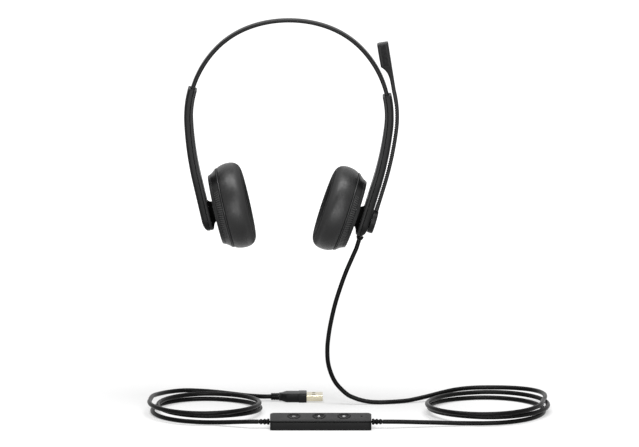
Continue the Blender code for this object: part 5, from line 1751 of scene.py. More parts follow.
class BoomMaker(PieceMaker):
    """The boom: hub, ribbed stem and microphone capsule."""

    HUB_ROUNDING = 0.8 * MM
    HUB_CHAMFER = 0.3 * MM
    HUB_GROOVE = 0.62
    HUB_GROOVE_SHAPE = ((0.35 * MM, 0.0), (0.2 * MM, 0.35 * MM), (-0.2 * MM, 0.35 * MM), (-0.35 * MM, 0.0))
    HUB_CAP = 0.3
    STEM_STEP = 0.28 * MM
    STEM_PLAIN = (4 * MM, 8 * MM)
    STEM_FADE = 3 * MM
    STEM_CORNERS = (0.9 * MM, 1.2 * MM)
    RIB_SHARPNESS = 1.6
    RIB_DEPTH_SHARE = 0.4
    CAPSULE_CORNER = 1.9 * MM
    CAPSULE_CREST = 0.9 * MM
    CAPSULE_SWELL = 0.04
    CAPSULE_TOP_SHRINK = 0.14
    PORT_FACE = 1.02
    PORT_DEPTH = 3.6 * MM
    FACE_ACROSS = (-6.3 * MM, -2.0 * MM)
    FACE_HALF = 8.0 * MM
    FACE_CORNER = 0.5 * MM
    FACE_BELOW_TOP = 0.9 * MM
    FACE_SUNK = 0.15 * MM
    FACE_PROUD = 0.03 * MM

    def make(self) -> None:
        """Makes the pieces of the boom."""
        self._hub()
        stop = self._stem()
        self._capsule(stop)

    def _place(self, up: float) -> tuple[Vector, Vector]:
        """Point and outward normal of the boom's middle line, so far up from its hub, in the side frame."""
        point, outward, _ = self.guide.arm_place(self.guide.hub - up)
        return point + outward * self.sizes.boom.offset, outward

    def _hub(self) -> None:
        """Makes the hub with its rounded edge, a ring groove and a flush cap."""
        boom = self.sizes.boom
        radius, thick, rounding = boom.hub_radius, boom.hub_thickness, self.HUB_ROUNDING
        bend = angles(0, 10, 10)
        edge = [(radius - rounding + rounding * math.cos(a), rounding - rounding * math.sin(a)) for a in bend]
        groove = self.HUB_GROOVE * radius
        bore = boom.pin_radius + self.gap
        bore_end = thick - boom.pin_in_hub - self.gap
        profile = [(bore, thick), (radius - self.HUB_CHAMFER, thick), (radius, thick - self.HUB_CHAMFER)]
        profile += edge + [(groove + out, deep) for out, deep in self.HUB_GROOVE_SHAPE]
        profile += [(self.HUB_CAP * radius, 0.0), (0.0, 0.0), (0.0, bore_end), (bore, bore_end)]
        place = Matrix.Translation((boom.hub_below_pivot, 0, self.guide.hub_outer))
        matrix = self.guide.cup_line(Side.RIGHT) @ place
        self.add("boom_hub", Shaper.turned(profile, 96), Finish.ARM, matrix, "boom", "boom_hub")

    def _stem(self) -> float:
        """Makes the stem, ribbed on the side of the arm where it bends.

        Returns:
            The distance from the hub's axis to the stem's top.
        """
        boom = self.sizes.boom
        start = boom.hub_radius + self.gap
        stop = self.guide.hub + self.sizes.band.radius * (boom.top_angle - self.sizes.arm.mouth_angle)
        half = boom.width / 2
        foot, head = self.STEM_PLAIN
        rings = []
        for share in shares(round((stop - start) / self.STEM_STEP)):
            up = start + (stop - start) * share
            point, outward = self._place(up)
            ribbed = clamped((up - start - foot) / self.STEM_FADE)
            ribbed *= clamped((stop - up - head) / self.STEM_FADE)
            phase = math.cos(math.tau * up / boom.rib_pitch)
            groove = boom.rib_depth * ribbed * clamped(0.5 + self.RIB_SHARPNESS * phase)
            half_depth = boom.depth / 2 - self.RIB_DEPTH_SHARE * groove
            outline = Shaper.rounded_outline(-half + groove, half, half_depth, *self.STEM_CORNERS)
            rings.append(Shaper.ring(point, outward, outline))
        matrix = self.guide.side(Side.RIGHT)
        self.add("boom_stem", Shaper.lofted(rings), Finish.BOOM, matrix, "boom", "boom_stem")
        return stop

    def _growth(self) -> list[tuple[float, float]]:
        """Heights up the capsule, with how far it has grown there from the stem's size to its own.

        Returns:
            Heights and shares.
        """
        boom, crest, swell = self.sizes.boom, self.CAPSULE_CREST, self.CAPSULE_SWELL
        body = boom.capsule_length - boom.capsule_taper - crest
        heights = [(boom.capsule_taper * share, share**boom.capsule_flare) for share in shares(24)]
        for share in shares(10)[1:]:
            heights.append((boom.capsule_taper + body * share, 1 + swell * min(2 * share, 1)))
        for turn in angles(18, 18, 5):
            shrunk = self.CAPSULE_TOP_SHRINK * (1 - math.cos(turn))
            heights.append((boom.capsule_length - crest * (1 - math.sin(turn)), 1 + swell - shrunk))
        return heights

    def _capsule(self, stop: float) -> None:
        """Makes the capsule with its microphone port.

        Args:
            stop: The distance from the hub's axis to the stem's top.
        """
        boom, gap = self.sizes.boom, self.gap
        top, _ = self._place(stop)
        up = Vector((math.sin(boom.capsule_lean), 0, math.cos(boom.capsule_lean)))
        across = Vector((-up.z, 0, up.x))
        foot = top + up * gap + across * boom.width / 2
        rings = []
        for height, grown in self._growth():
            width = boom.width + (boom.capsule_width - boom.width) * grown
            depth = boom.depth + (boom.capsule_depth - boom.depth) * grown
            outline = Shaper.rounded_outline(-width, 0, depth / 2, self.CAPSULE_CORNER, self.CAPSULE_CORNER)
            rings.append(Shaper.ring(foot + up * height, across, outline))
        side = self.guide.side(Side.RIGHT)
        port = Matrix((up, Vector((0, 1, 0)), -across)).transposed().to_4x4()
        height = boom.capsule_length - boom.mic_below_top
        port.translation = foot + up * height - across * boom.capsule_width * self.PORT_FACE
        bore = Shaper.peg(boom.mic_radius + gap, -self.PORT_DEPTH, boom.capsule_width, 48)
        cutters = [Shaper.moved(bore, side @ port)]
        name = "mic_capsule"
        self.add(name, Shaper.lofted(rings), Finish.BOOM, side, "boom", name, cutters=cutters)
        self._face(foot, up, across)

    def _face(self, foot: Vector, up: Vector, across: Vector) -> None:
        """Makes the dull panel let into the front of the capsule.

        Args:
            foot: The capsule's outer corner at its foot, in the side frame.
            up: Direction up the capsule.
            across: Direction outwards across it.
        """
        boom = self.sizes.boom
        front = (boom.depth + (boom.capsule_depth - boom.depth) * (1 + self.CAPSULE_SWELL)) / 2
        corner = self.FACE_CORNER
        outline = Shaper.rounded_outline(*self.FACE_ACROSS, self.FACE_HALF, corner, corner)
        middle = boom.capsule_length - self.FACE_BELOW_TOP - self.FACE_HALF
        rings = []
        for depth in (front - self.FACE_SUNK, front + self.FACE_PROUD):
            rings.append([foot + across * a + up * (middle + h) + Vector((0, depth, 0)) for a, h in outline])
        self.add("mic_face", Shaper.lofted(rings), Finish.NECK, self.guide.side(Side.RIGHT), "boom")


class ControllerMaker(PieceMaker):
    """The inline controller: base, lid, buttons with their signs, light and strain reliefs."""

    STATIONS = 9
    END_NARROWING = 0.16
    BASE_DROP = 0.1
    LID_DROP = 0.34
    EDGE = 0.9 * MM
    GROOVE_HEIGHT = 0.9 * MM
    GROOVE_DEPTH = 2.2 * MM
    SLOPE_SET_IN = 0.4 * MM
    LENS_CLEARANCE = 0.1 * MM
    LENS_DOME = 0.12 * MM
    LENS_DEPTH = 1.5 * MM
    BUTTON_ROUNDING = 0.55 * MM
    BUTTON_FLAT = 0.5
    SIGN_THICKNESS = 0.05 * MM
    SIGN_LIFT = 0.01 * MM
    RELIEF_WALL = 0.25 * MM
    BEADS = 3

    @property
    def place(self) -> Matrix:
        """Frame of the controller on the desk."""
        return Matrix.Translation((*self.sizes.controller.place, self.sizes.cord.desk))

    def make(self) -> None:
        """Makes the pieces of the controller."""
        self._base()
        self._lid()
        signs = {"minus": self._minus(), "mute": self._microphone(), "plus": self._plus()}
        for index, (name, sign) in enumerate(signs.items()):
            self._button(name, index, sign)
        self._lens()
        self._reliefs()

    def _drawn_out(self, outline: Outline, drop: float) -> Form:
        """An outline drawn out along the controller, rounded in towards both ends.

        Args:
            outline: Points in (depth from the front, height).
            drop: Share of its height that it loses at its ends.

        Returns:
            The form, in the controller's frame.
        """
        box = self.sizes.controller
        low = min(height for _, height in outline)
        ends = [share * math.pi / 2 for share in shares(self.STATIONS)]
        rings = []
        for sign, turn in [(-1, turn) for turn in ends] + [(1, turn) for turn in ends[::-1]]:
            along = sign * (box.length / 2 - box.end_rounding * (1 - math.cos(turn)))
            kept = 1 - self.END_NARROWING * (1 - math.sin(turn))
            lifted = 1 - drop * (1 - math.sin(turn))
            ring = [((d - box.width / 2) * kept, low + (h - low) * lifted) for d, h in outline]
            rings.append([Vector((along, depth, height)) for depth, height in ring])
        return Shaper.lofted(rings)

    @staticmethod
    def _rounded(corners: Sequence[tuple[float, float, float]]) -> Outline:
        """A polygon with each corner rounded by its own radius.

        Args:
            corners: Corners as (depth, height, radius).

        Returns:
            The outline's points in order.
        """
        most = 0.45
        points: Outline = []
        for i, (depth, height, radius) in enumerate(corners):
            here = Vector((depth, height))
            before = Vector(corners[i - 1][:2]) - here
            after = Vector(corners[(i + 1) % len(corners)][:2]) - here
            reach = min(radius, most * before.length, most * after.length)
            first = here + before.normalized() * reach
            last = here + after.normalized() * reach
            for t in shares(6):
                spot = first * (1 - t) ** 2 + here * 2 * t * (1 - t) + last * t**2
                points.append((spot.x, spot.y))
        return points

    def _base(self) -> None:
        """Makes the base, with a groove along its front under the lid."""
        width, top = self.sizes.controller.width, self.sizes.controller.base_height
        brink = top - self.GROOVE_HEIGHT
        corners = [
            (0.0, 0.0, self.EDGE),
            (0.0, brink, 0.15 * MM),
            (self.GROOVE_DEPTH, brink, 0.05 * MM),
            (self.GROOVE_DEPTH, top, 0.05 * MM),
            (width, top, 0.25 * MM),
            (width, 0.0, self.EDGE),
        ]
        form = self._drawn_out(self._rounded(corners), self.BASE_DROP)
        self.add("controller_base", form, Finish.CASE, self.place, "headband", "controller_base")

    def _lid(self) -> None:
        """Makes the sloping lid with its holes."""
        box, gap = self.sizes.controller, self.gap
        foot = box.base_height + gap
        crest = box.width * box.crest
        corners = [
            (0.0, foot, 0.15 * MM),
            (0.0, foot + box.front_rise, 0.45 * MM),
            (crest + 0.8 * MM, foot + box.back_rise + 0.2 * MM, 2.6 * MM),
            (box.width - 0.3 * MM, foot + 0.5 * box.back_rise, 1.6 * MM),
            (box.width, foot, 0.2 * MM),
        ]
        form = self._drawn_out(self._rounded(corners), self.LID_DROP)
        reach = 2 * box.base_height
        spots = [(self._button_x(i), box.button_radius + gap) for i in range(3)]
        spots.append((box.lens_x, box.lens_radius + self.LENS_CLEARANCE))
        holes = []
        for along, radius in spots:
            hole = Shaper.peg(radius, -reach, reach, 56)
            holes.append(Shaper.moved(hole, self.place @ self._slope(along)))
        # The lid's paler finish is painted light from above
        self.add(
            "controller_lid", form, Finish.LID, self.place, "headband", "controller_lid", cutters=holes
        )

    def _button_x(self, index: int) -> float:
        """Place of a button along the controller, by its number from the left."""
        return self.sizes.controller.row_offset + self.sizes.controller.pitch * (index - 1)

    def _slope(self, along: float) -> Matrix:
        """Frame on the lid's sloping face.

        Args:
            along: Place along the controller.

        Returns:
            The matrix in the controller's frame.
        """
        box = self.sizes.controller
        foot = box.base_height + self.gap
        front = self.SLOPE_SET_IN - box.width / 2
        back = box.width * box.crest - box.width / 2
        slope = math.atan2(box.back_rise - box.front_rise, back - front)
        depth = box.width * (box.button_depth - 0.5)
        height = foot + box.front_rise + (depth - front) * math.tan(slope)
        return Matrix.Translation((along, depth, height)) @ Matrix.Rotation(slope, 4, "X")

    def _button(self, name: str, index: int, sign: Form) -> None:
        """Makes a dished button and its sign.

        Args:
            name: Name of the button.
            index: Its number from the left.
            sign: Form of its sign, which is used up.
        """
        box, rounding = self.sizes.controller, self.BUTTON_ROUNDING
        flat = self.BUTTON_FLAT * box.button_radius
        brim = box.button_radius - rounding
        floor = box.proud - box.dish
        profile = [(0.0, floor)]
        profile += [(flat + (brim - flat) * share, floor + box.dish * share**2) for share in shares(8)]
        for turn in angles(15, 15, 6):
            profile.append((brim + rounding * math.sin(turn), box.proud - rounding * (1 - math.cos(turn))))
        profile += [(box.button_radius, -box.skirt), (0.0, -box.skirt)]
        place = self.place @ self._slope(self._button_x(index))
        body = f"{name}_key"
        self.add(f"{name}_button", Shaper.turned(profile, 64), Finish.BUTTON, place, body, f"{name}_button")
        lift = Matrix.Translation((0, 0, floor + self.SIGN_LIFT))
        self.add(f"{name}_sign", sign, Finish.SIGN, place @ lift, body)

    def _bar(self, length: float, width: float, turn: float = 0.0, lift: float = 0.0) -> Form:
        """A thin bar with round ends.

        Args:
            length: Its length.
            width: Its width.
            turn: Its turn in the plane.
            lift: How far its middle goes up the button.

        Returns:
            The form.
        """
        half = width / 2
        outline: Outline = []
        for sign, first in ((1, -90), (-1, 90)):
            middle = sign * (length / 2 - half)
            outline += [(middle + half * math.cos(a), half * math.sin(a)) for a in angles(first, 22.5, 9)]
        matrix = Matrix.Translation((0, lift, 0)) @ Matrix.Rotation(turn, 4, "Z")
        return Shaper.moved(Shaper.plate(outline, self.SIGN_THICKNESS), matrix)

    def _minus(self) -> Form:
        """The sign on the first button."""
        return self._bar(2.9 * MM, 0.75 * MM)

    def _plus(self) -> Form:
        """The sign on the last button, as one outline so that nothing overlaps.

        Returns:
            The form.
        """
        far, near = 1.45 * MM, 0.38 * MM
        quarter: Outline = [(near, -far), (near, -near), (far, -near)]
        outline: Outline = []
        for _ in range(4):
            outline += quarter
            quarter = [(-y, x) for x, y in quarter]
        return Shaper.plate(outline, self.SIGN_THICKNESS)

    def _microphone(self) -> Form:
        """The sign on the middle button: a plain microphone.

        Returns:
            The form.
        """
        outer, inner, lift = 1.15 * MM, 0.85 * MM, 0.35 * MM
        bend = angles(180, 15, 13)
        cradle = [(outer * math.cos(a), lift + outer * math.sin(a)) for a in bend]
        cradle += [(inner * math.cos(a), lift + inner * math.sin(a)) for a in bend[::-1]]
        head = self._bar(2.0 * MM, 1.0 * MM, math.pi / 2, 0.55 * MM)
        foot = self._bar(1.5 * MM, 0.35 * MM, 0.0, -1.35 * MM)
        return Shaper.joined([head, Shaper.plate(cradle, self.SIGN_THICKNESS), foot])

    def _lens(self) -> None:
        """Makes the domed lens of the light."""
        box, dome = self.sizes.controller, self.LENS_DOME
        radius = box.lens_radius
        profile = [(0.0, dome)] + [(radius * math.sin(a), dome * math.cos(a)) for a in angles(10, 10, 9)]
        profile += [(radius, -self.LENS_DEPTH), (0.0, -self.LENS_DEPTH)]
        place = self.place @ self._slope(box.lens_x)
        self.add(
            "indicator_lens", Shaper.turned(profile, 32), Finish.LENS, place, "headband", "indicator_lens"
        )

    def _beads(self) -> Outline:
        """Outline of a strain relief with round beads, from its end back to its start.

        Returns:
            The outline.
        """
        length, radius = self.sizes.controller.relief_length, self.sizes.controller.relief_radius
        end_radius = self.sizes.cord.radius + self.RELIEF_WALL
        step = length / self.BEADS
        points: Outline = [(0.0, 0.0), (radius * 0.92, 0.0)]
        for bead in range(self.BEADS):
            start = bead * step
            size = radius + (end_radius - radius) * bead / self.BEADS
            groove = max(size - 0.75 * MM, end_radius * 0.78)
            for share in shares(10)[1:-1]:
                swell = math.sin(math.pi * share) ** 0.6
                points.append((groove + (size - groove) * swell, start + 0.74 * step * share))
            points += [(groove, start + 0.76 * step), (groove, start + 0.97 * step)]
        points += [(end_radius, length - 0.01 * MM), (end_radius, length), (0.0, length)]
        return points[::-1]

    def _reliefs(self) -> None:
        """Makes the beaded strain relief at each end."""
        box = self.sizes.controller
        for side, sign in (("left", -1), ("right", 1)):
            start = Matrix.Translation((sign * (box.length / 2 + self.gap), 0, box.exit_height))
            matrix = self.place @ start @ turn_to(Vector((sign, 0, 0)))
            name = f"{side}_controller_relief"
            self.add(name, Shaper.turned(self._beads(), 40), Finish.CORD, matrix, "headband", name)


class PlugMaker(PieceMaker):
    """The USB plug: plain relief, overmould and plated shell."""

    SLIM = 0.94
    NECK_END = ((0.0, 0.42, 0.76), (0.2 * MM, 0.45, 0.79))
    NECK_SIZE = (0.46, 0.8)
    FLARE = (0.06, 0.24)
    STEP_SHAPE = ((0.15 * MM, 0.985, 0.985), (0.4 * MM, 1.0, 1.0))
    FRONT_SHAPE = ((-0.5 * MM, 1.0, 1.0), (-0.15 * MM, 0.98, 0.97), (0.0, 0.95, 0.92))
    CORNER = 1.5 * MM
    POCKET_PAST = 2 * MM
    SHELL_LIP = ((-0.3 * MM, 0.0), (-0.08 * MM, 0.06 * MM), (0.0, 0.16 * MM))
    HOLLOW_PAST = 1 * MM
    HOLLOW_CORNER = 0.25 * MM
    WINDOW = 2.3 * MM
    WINDOW_CORNER = 0.2 * MM
    WINDOW_ALONG = 5.2 * MM
    WINDOW_ACROSS = 2.9 * MM
    WINDOW_SUNK = 0.15 * MM
    RELIEF_CHAMFER = 0.3 * MM
    RELIEF_GROOVES = (0.72, 0.4)
    RELIEF_GROOVE_SHAPE = ((0.0, 0.25 * MM), (0.2 * MM, 0.1 * MM), (0.2 * MM, -0.1 * MM), (0.0, -0.25 * MM))

    @property
    def place(self) -> Matrix:
        """Frame of the plug on the desk."""
        plug = self.sizes.plug
        return Matrix.Translation((plug.back, plug.across, self.sizes.cord.desk + plug.height / 2))

    def make(self) -> None:
        """Makes the pieces of the plug."""
        self._overmould()
        self._shell()
        self._relief()

    @staticmethod
    def _section(along: float, half_width: float, half_height: float, corner: float) -> Ring:
        """Points of a rounded section at a place along the plug."""
        outline = Shaper.rounded_outline(-half_height, half_height, half_width, corner, corner)
        return [Vector((along, depth, height)) for height, depth in outline]

    def _bar(self, span: Sequence[float], *section: float) -> Form:
        """A straight bar from one place along the plug to another, in the world's frame."""
        return Shaper.moved(Shaper.lofted([self._section(along, *section) for along in span]), self.place)

    def _overmould(self) -> None:
        """Makes the overmould: a slim neck that flares into the grip, and a raised collar at the front."""
        plug, gap = self.sizes.plug, self.gap
        wide, tall = self.NECK_SIZE
        first, reach = self.FLARE
        shape = list(self.NECK_END)
        for share in shares(12):
            grown = eased(share)
            along = plug.length * (first + reach * share)
            shape.append((along, wide + (self.SLIM - wide) * grown, tall + (self.SLIM - tall) * grown))
        step = plug.length - plug.step
        shape.append((step, self.SLIM, self.SLIM))
        shape += [(step + along, *size) for along, *size in self.STEP_SHAPE]
        shape += [(plug.length + along, *size) for along, *size in self.FRONT_SHAPE]
        rings = []
        for along, across, high in shape:
            rings.append(self._section(along, plug.width / 2 * across, plug.height / 2 * high, self.CORNER))
        span = (plug.length - plug.shell_sunk - gap, plug.length + self.POCKET_PAST)
        half_w, half_h = (plug.shell_width + gap) / 2, (plug.shell_height + gap) / 2
        pocket = self._bar(span, half_w, half_h, plug.corner)
        name = "plug_overmould"
        self.add(name, Shaper.lofted(rings), Finish.CASE, self.place, "headband", name, cutters=[pocket])

    def _shell(self) -> None:
        """Makes the plated shell with its latch windows."""
        plug = self.sizes.plug
        sunk = plug.length - plug.shell_sunk
        end = plug.length + plug.shell_length
        half_w, half_h = plug.shell_width / 2, plug.shell_height / 2
        outer = [(sunk, 0.0)] + [(end + along, drawn) for along, drawn in self.SHELL_LIP]
        rings = [self._section(along, half_w - drawn, half_h - drawn, plug.corner) for along, drawn in outer]
        inner_w, inner_h = half_w - plug.wall, half_h - plug.wall
        past = self.HOLLOW_PAST
        tools = [self._bar((sunk - past, end + past), inner_w, inner_h, self.HOLLOW_CORNER)]
        half, along = self.WINDOW / 2, plug.length + self.WINDOW_ALONG
        outline = Shaper.rounded_outline(-half, half, half, self.WINDOW_CORNER, self.WINDOW_CORNER)
        for side in (-1, 1):
            for top in (1, -1):
                window = []
                for height in (inner_h - self.WINDOW_SUNK, half_h + past):
                    middle = Vector((along, side * self.WINDOW_ACROSS, top * height))
                    window.append(Shaper.ring(middle, Vector((1, 0, 0)), outline))
                tools.append(Shaper.moved(Shaper.lofted(window), self.place))
        name = "plug_shell"
        self.add(name, Shaper.lofted(rings), Finish.PLATE, self.place, "headband", name, cutters=tools)

    def _relief(self) -> None:
        """Makes the plug's plain strain relief, with two fine grooves."""
        plug, gap = self.sizes.plug, self.gap
        length, radius, chamfer = plug.relief_length, plug.relief_radius, self.RELIEF_CHAMFER
        end, seat = length + 0.45 * gap, -0.9 * gap
        profile = [(0.0, end), (radius - chamfer, end), (radius, length - chamfer)]
        for share in self.RELIEF_GROOVES:
            profile += [(radius - deep, share * length + along) for deep, along in self.RELIEF_GROOVE_SHAPE]
        profile += [(radius, seat), (0.0, seat)]
        matrix = self.place @ Matrix.Translation((-gap, 0, 0)) @ turn_to(Vector((-1, 0, 0)))
        self.add("plug_relief", Shaper.turned(profile, 40), Finish.CORD, matrix, "headband", "plug_relief")


@dataclass(frozen=True)
class Coil:
    """Loose loops of cord piled on the desk, one layer a turn, each as (x, y, radius) in millimetres."""

    cord: CordSizes
    loops: tuple[tuple[float, float, float], ...]
    first_angle: float
    sweep: float
    climb_angle: float

    @property
    def radius(self) -> float:
        """Radius of the lowest loop."""
        return self.loops[0][2] * MM

    @property
    def sign(self) -> int:
        """Which way the coil runs, seen from above."""
        return 1 if self.sweep > 0 else -1

    @property
    def last_angle(self) -> float:
        """Angle at which the coil ends."""
        return self.first_angle + self.sweep

    def layer(self, angle: float) -> float:
        """How many layers up the cord lies.

        Args:
            angle: Angle along the coil.

        Returns:
            The layer, which rises by one over a part of each turn.
        """
        travelled = self.sign * (angle - self.climb_angle)
        turns = math.floor(travelled / math.tau)
        share = min((travelled - turns * math.tau) / self.cord.climb, 1)
        first = math.floor(self.sign * (self.first_angle - self.climb_angle) / math.tau)
        return min(max(turns - first - 1 + eased(share), 0), len(self.loops) - 1)

    def place(self, angle: float) -> Vector:
        """A point of the cord's middle line.

        Args:
            angle: Angle along the coil.

        Returns:
            The point.
        """
        layer = self.layer(angle)
        lower = min(int(layer), len(self.loops) - 2)
        loop = Vector(self.loops[lower]).lerp(Vector(self.loops[lower + 1]), layer - lower) * MM
        height = self.cord.desk + self.cord.radius + self.cord.layer * layer
        return Vector((loop.x + loop.z * math.cos(angle), loop.y + loop.z * math.sin(angle), height))

    def tangent(self, angle: float) -> Vector:
        """Direction in which the cord runs at an angle."""
        return self.sign * Vector((-math.sin(angle), math.cos(angle), 0))

    def points(self, step: float) -> list[Vector]:
        """Points along the loops, with a straight run at each end.

        Args:
            step: Distance from one point to the next.

        Returns:
            The points in order.
        """
        turn = self.cord.diameter * 2 / self.radius
        first = self.first_angle + self.sign * turn
        last = self.last_angle - self.sign * turn
        count = round(abs(last - first) * self.radius / step)
        loops = [self.place(first + (last - first) * share) for share in shares(count)]
        start, end = self.place(self.first_angle), self.place(self.last_angle)
        lead_in = start + self.tangent(self.first_angle) * self.cord.diameter
        lead_out = end - self.tangent(self.last_angle) * self.cord.diameter
        return [start, lead_in] + loops + [lead_out, end]


class CordMaker(PieceMaker):
    """The cord, on the routes of its CAD solids, and the relief at the arm's foot.

    The routes are in millimetres: across and up for the hanging stretch, and across, back and over the desk
    for what lies, where no height means on the desk.
    """

    GIVE = 92 * MM
    RELIEF_WALL = 0.45 * MM
    RIGHT_LOOPS = ((145.3, -27.2, 43.5), (148.7, -25.1, 43.0), (143.4, -30.5, 44.2))
    RIGHT_TURNS = (-83, 798, 105)
    LEFT_LOOPS = ((-61.6, -27.4, 39.5), (-58.6, -26.0, 38.3), (-63.4, -32.0, 39.8))
    LEFT_TURNS = (-108, -797, -285)
    HANGING = (
        *((42.8, -187.5), (38.4, -199.6), (34.6, -211.7), (31.7, -223.8), (29.5, -235.9), (28.4, -248.0)),
        *((29.4, -260.1), (34.1, -272.2), (42.2, -281.1), (48.1, -284.4), (54.0, -286.4), (60.0, -287.5)),
    )
    TO_RIGHT_COIL = (
        *((66.5, 0), (73, 0.8), (80, 2.4), (88, 4.8, 1.9), (96, 7.2, 3.0), (104.5, 10.3, 4.4)),
        *((113.5, 14.8, 5.8), (124, 20.5, 6.8), (136, 24.5, 7.2), (150, 25.5, 7.3), (164, 23.0, 7.6)),
        *((176, 17.0, 8.0), (184.5, 8.0, 8.4), (189.0, -4.0, 8.9), (189.6, -16.0, 9.1)),
    )
    RIGHT_LEAD = ((86, -79.0, 4.4), (97, -77.5, 3.8), (108, -75.9, 3.2), (120, -74.3, 2.5), (132, -72.8, 2.0))
    LEFT_LEAD = ((-38, -77.4, 4.0), (-48, -73.9, 3.0), (-58, -70.2, 2.1))
    TO_PLUG = (
        *((-100.8, -10.0, 8.8), (-96.5, 2.0, 7.6), (-89.0, 14.0, 6.5), (-78.0, 22.0, 5.8)),
        *((-66.0, 24.3, 5.0), (-53.6, 22.8, 4.4), (-42.0, 19.0, 3.9), (-31.5, 14.6, 3.6)),
    )

    def __post_init__(self) -> None:
        """Sets up the two coils and the list of what the cord carries."""
        super().__post_init__()
        cord = self.sizes.cord
        self.right_coil = Coil(cord, self.RIGHT_LOOPS, *map(math.radians, self.RIGHT_TURNS))
        self.left_coil = Coil(cord, self.LEFT_LOOPS, *map(math.radians, self.LEFT_TURNS))
        self.carried: list[Piece] = []

    def make(self) -> None:
        """Makes the arm's relief and the cord, which runs on through the controller to the plug."""
        start, way = self._arm_relief()
        first, last = self._headset_stretch(start, way), self._plug_stretch()
        inside = self._smooth([first[-1], last[0]])
        cord = self.sizes.cord
        tubes = [Shaper.tube(stretch, cord.radius, cord.sides) for stretch in (first, last)]
        tubes.append(Shaper.tube(inside, cord.wires_radius, cord.sides))
        obj = self.stage.form("look_cord", Shaper.joined(tubes), Finish.CORD)
        coils = ("cord_coil_right", "cord_coil_left")
        leads = ("cord_drop", "cord_lead_right", "cord_lead_left", "cord_lead_plug")
        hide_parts(*coils, *leads)
        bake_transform(obj)

    def _arm_relief(self) -> tuple[Vector, Vector]:
        """Makes the relief at the foot of the right arm.

        Returns:
            Where the cord leaves it, and the direction.
        """
        cord, gap = self.sizes.cord, self.gap
        point, _, down = self.guide.arm_place(self.guide.length + gap)
        side = self.guide.side(Side.RIGHT)
        end_radius = cord.radius + self.RELIEF_WALL
        length, radius, chamfer = cord.relief_length, cord.relief_radius, 0.2 * MM
        profile = [(0.0, length), (end_radius - chamfer, length), (end_radius, length - chamfer)]
        profile += [(end_radius + 0.1 * MM, 0.8 * length), (radius - 0.15 * MM, 0.55 * length)]
        profile += [(radius, 0.45 * length), (radius, 0.1 * length), (radius - chamfer, 0.0), (0.0, 0.0)]
        matrix = side @ Matrix.Translation(point) @ turn_to(down)
        name = "arm_cord_relief"
        self.add(name, Shaper.turned(profile, 40), Finish.CORD, matrix, "right_arm", name)
        return side @ (point + down * (length + gap)), side.to_3x3() @ down

    def _lying(self, route: Sequence[tuple[float, ...]]) -> list[Vector]:
        """Points of a route on or over the desk.

        Args:
            route: Millimetres across, back and over the desk, without the last where the cord lies on it.

        Returns:
            The points in order.
        """
        points = []
        for x, y, *height in route:
            lift = height[0] * MM if height else self.sizes.cord.radius
            points.append(Vector((x * MM, y * MM, self.sizes.cord.desk + lift)))
        return points

    def _led(self, point: Vector, way: Vector) -> list[Vector]:
        """A point and a straight run that leads away from it."""
        return [point + way * self.sizes.cord.diameter * k for k in range(3)]

    def _smooth(self, points: Sequence[Vector]) -> list[Vector]:
        """A smooth curve through route points.

        Args:
            points: The route's points.

        Returns:
            Points close together along the curve.
        """
        padded = [2 * points[0] - points[1], *points, 2 * points[-1] - points[-2]]
        route = []
        for before, first, second, after in zip(padded, padded[1:], padded[2:], padded[3:]):
            slope = second - before
            bend = 2 * before - 5 * first + 4 * second - after
            twist = 3 * first - before - 3 * second + after
            count = max(round((second - first).length / self.sizes.cord.step), 1)
            for t in shares(count)[:-1]:
                route.append(first + 0.5 * (slope * t + bend * t**2 + twist * t**3))
        return route + [points[-1]]

    def _exit(self, sign: int) -> Vector:
        """Where a cord leaves the controller's relief: -1 on the left, 1 on the right.

        Args:
            sign: The side, as a sign.

        Returns:
            The point.
        """
        box = self.sizes.controller
        reach = box.length / 2 + box.relief_length + 1.5 * self.gap
        return Vector((box.place[0] + sign * reach, box.place[1], self.sizes.cord.desk + box.exit_height))

    def _lead(self, sign: int, route: Sequence[tuple[float, ...]], coil: Coil) -> list[Vector]:
        """Middle line from the controller to the lower end of a coil.

        Args:
            sign: -1 on the left, 1 on the right.
            route: What lies between.
            coil: The coil.

        Returns:
            Its points in order.
        """
        start = self._led(self._exit(sign), Vector((sign, 0, 0)))
        end = self._led(coil.place(coil.first_angle), -coil.tangent(coil.first_angle))
        return self._smooth(start + self._lying(route) + end[::-1])

    def _headset_stretch(self, start: Vector, way: Vector) -> list[Vector]:
        """Middle line from the right arm, through the right coil, to the controller.

        Args:
            start: Where it leaves the arm's relief.
            way: The direction there.

        Returns:
            Its points in order.
        """
        coil = self.right_coil
        route = self._led(start, way) + [Vector((x * MM, 0, z * MM)) for x, z in self.HANGING]
        route += self._lying(self.TO_RIGHT_COIL)
        route += self._led(coil.place(coil.last_angle), coil.tangent(coil.last_angle))[::-1]
        path = self._smooth(route) + coil.points(self.sizes.cord.step)[::-1][1:]
        return path + self._lead(1, self.RIGHT_LEAD, coil)[::-1][1:]

    def _plug_stretch(self) -> list[Vector]:
        """Middle line from the controller, through the left coil, to the plug.

        Returns:
            Its points in order.
        """
        coil, plug, cord = self.left_coil, self.sizes.plug, self.sizes.cord
        path = self._lead(-1, self.LEFT_LEAD, coil) + coil.points(cord.step)[1:]
        back = plug.back - plug.relief_length - 1.5 * self.gap
        end = Vector((back, plug.across, cord.desk + plug.height / 2))
        tail = self._led(coil.place(coil.last_angle), coil.tangent(coil.last_angle))
        tail += self._lying(self.TO_PLUG) + self._led(end, Vector((-1, 0, 0)))[::-1]
        return path + self._smooth(tail)[1:]


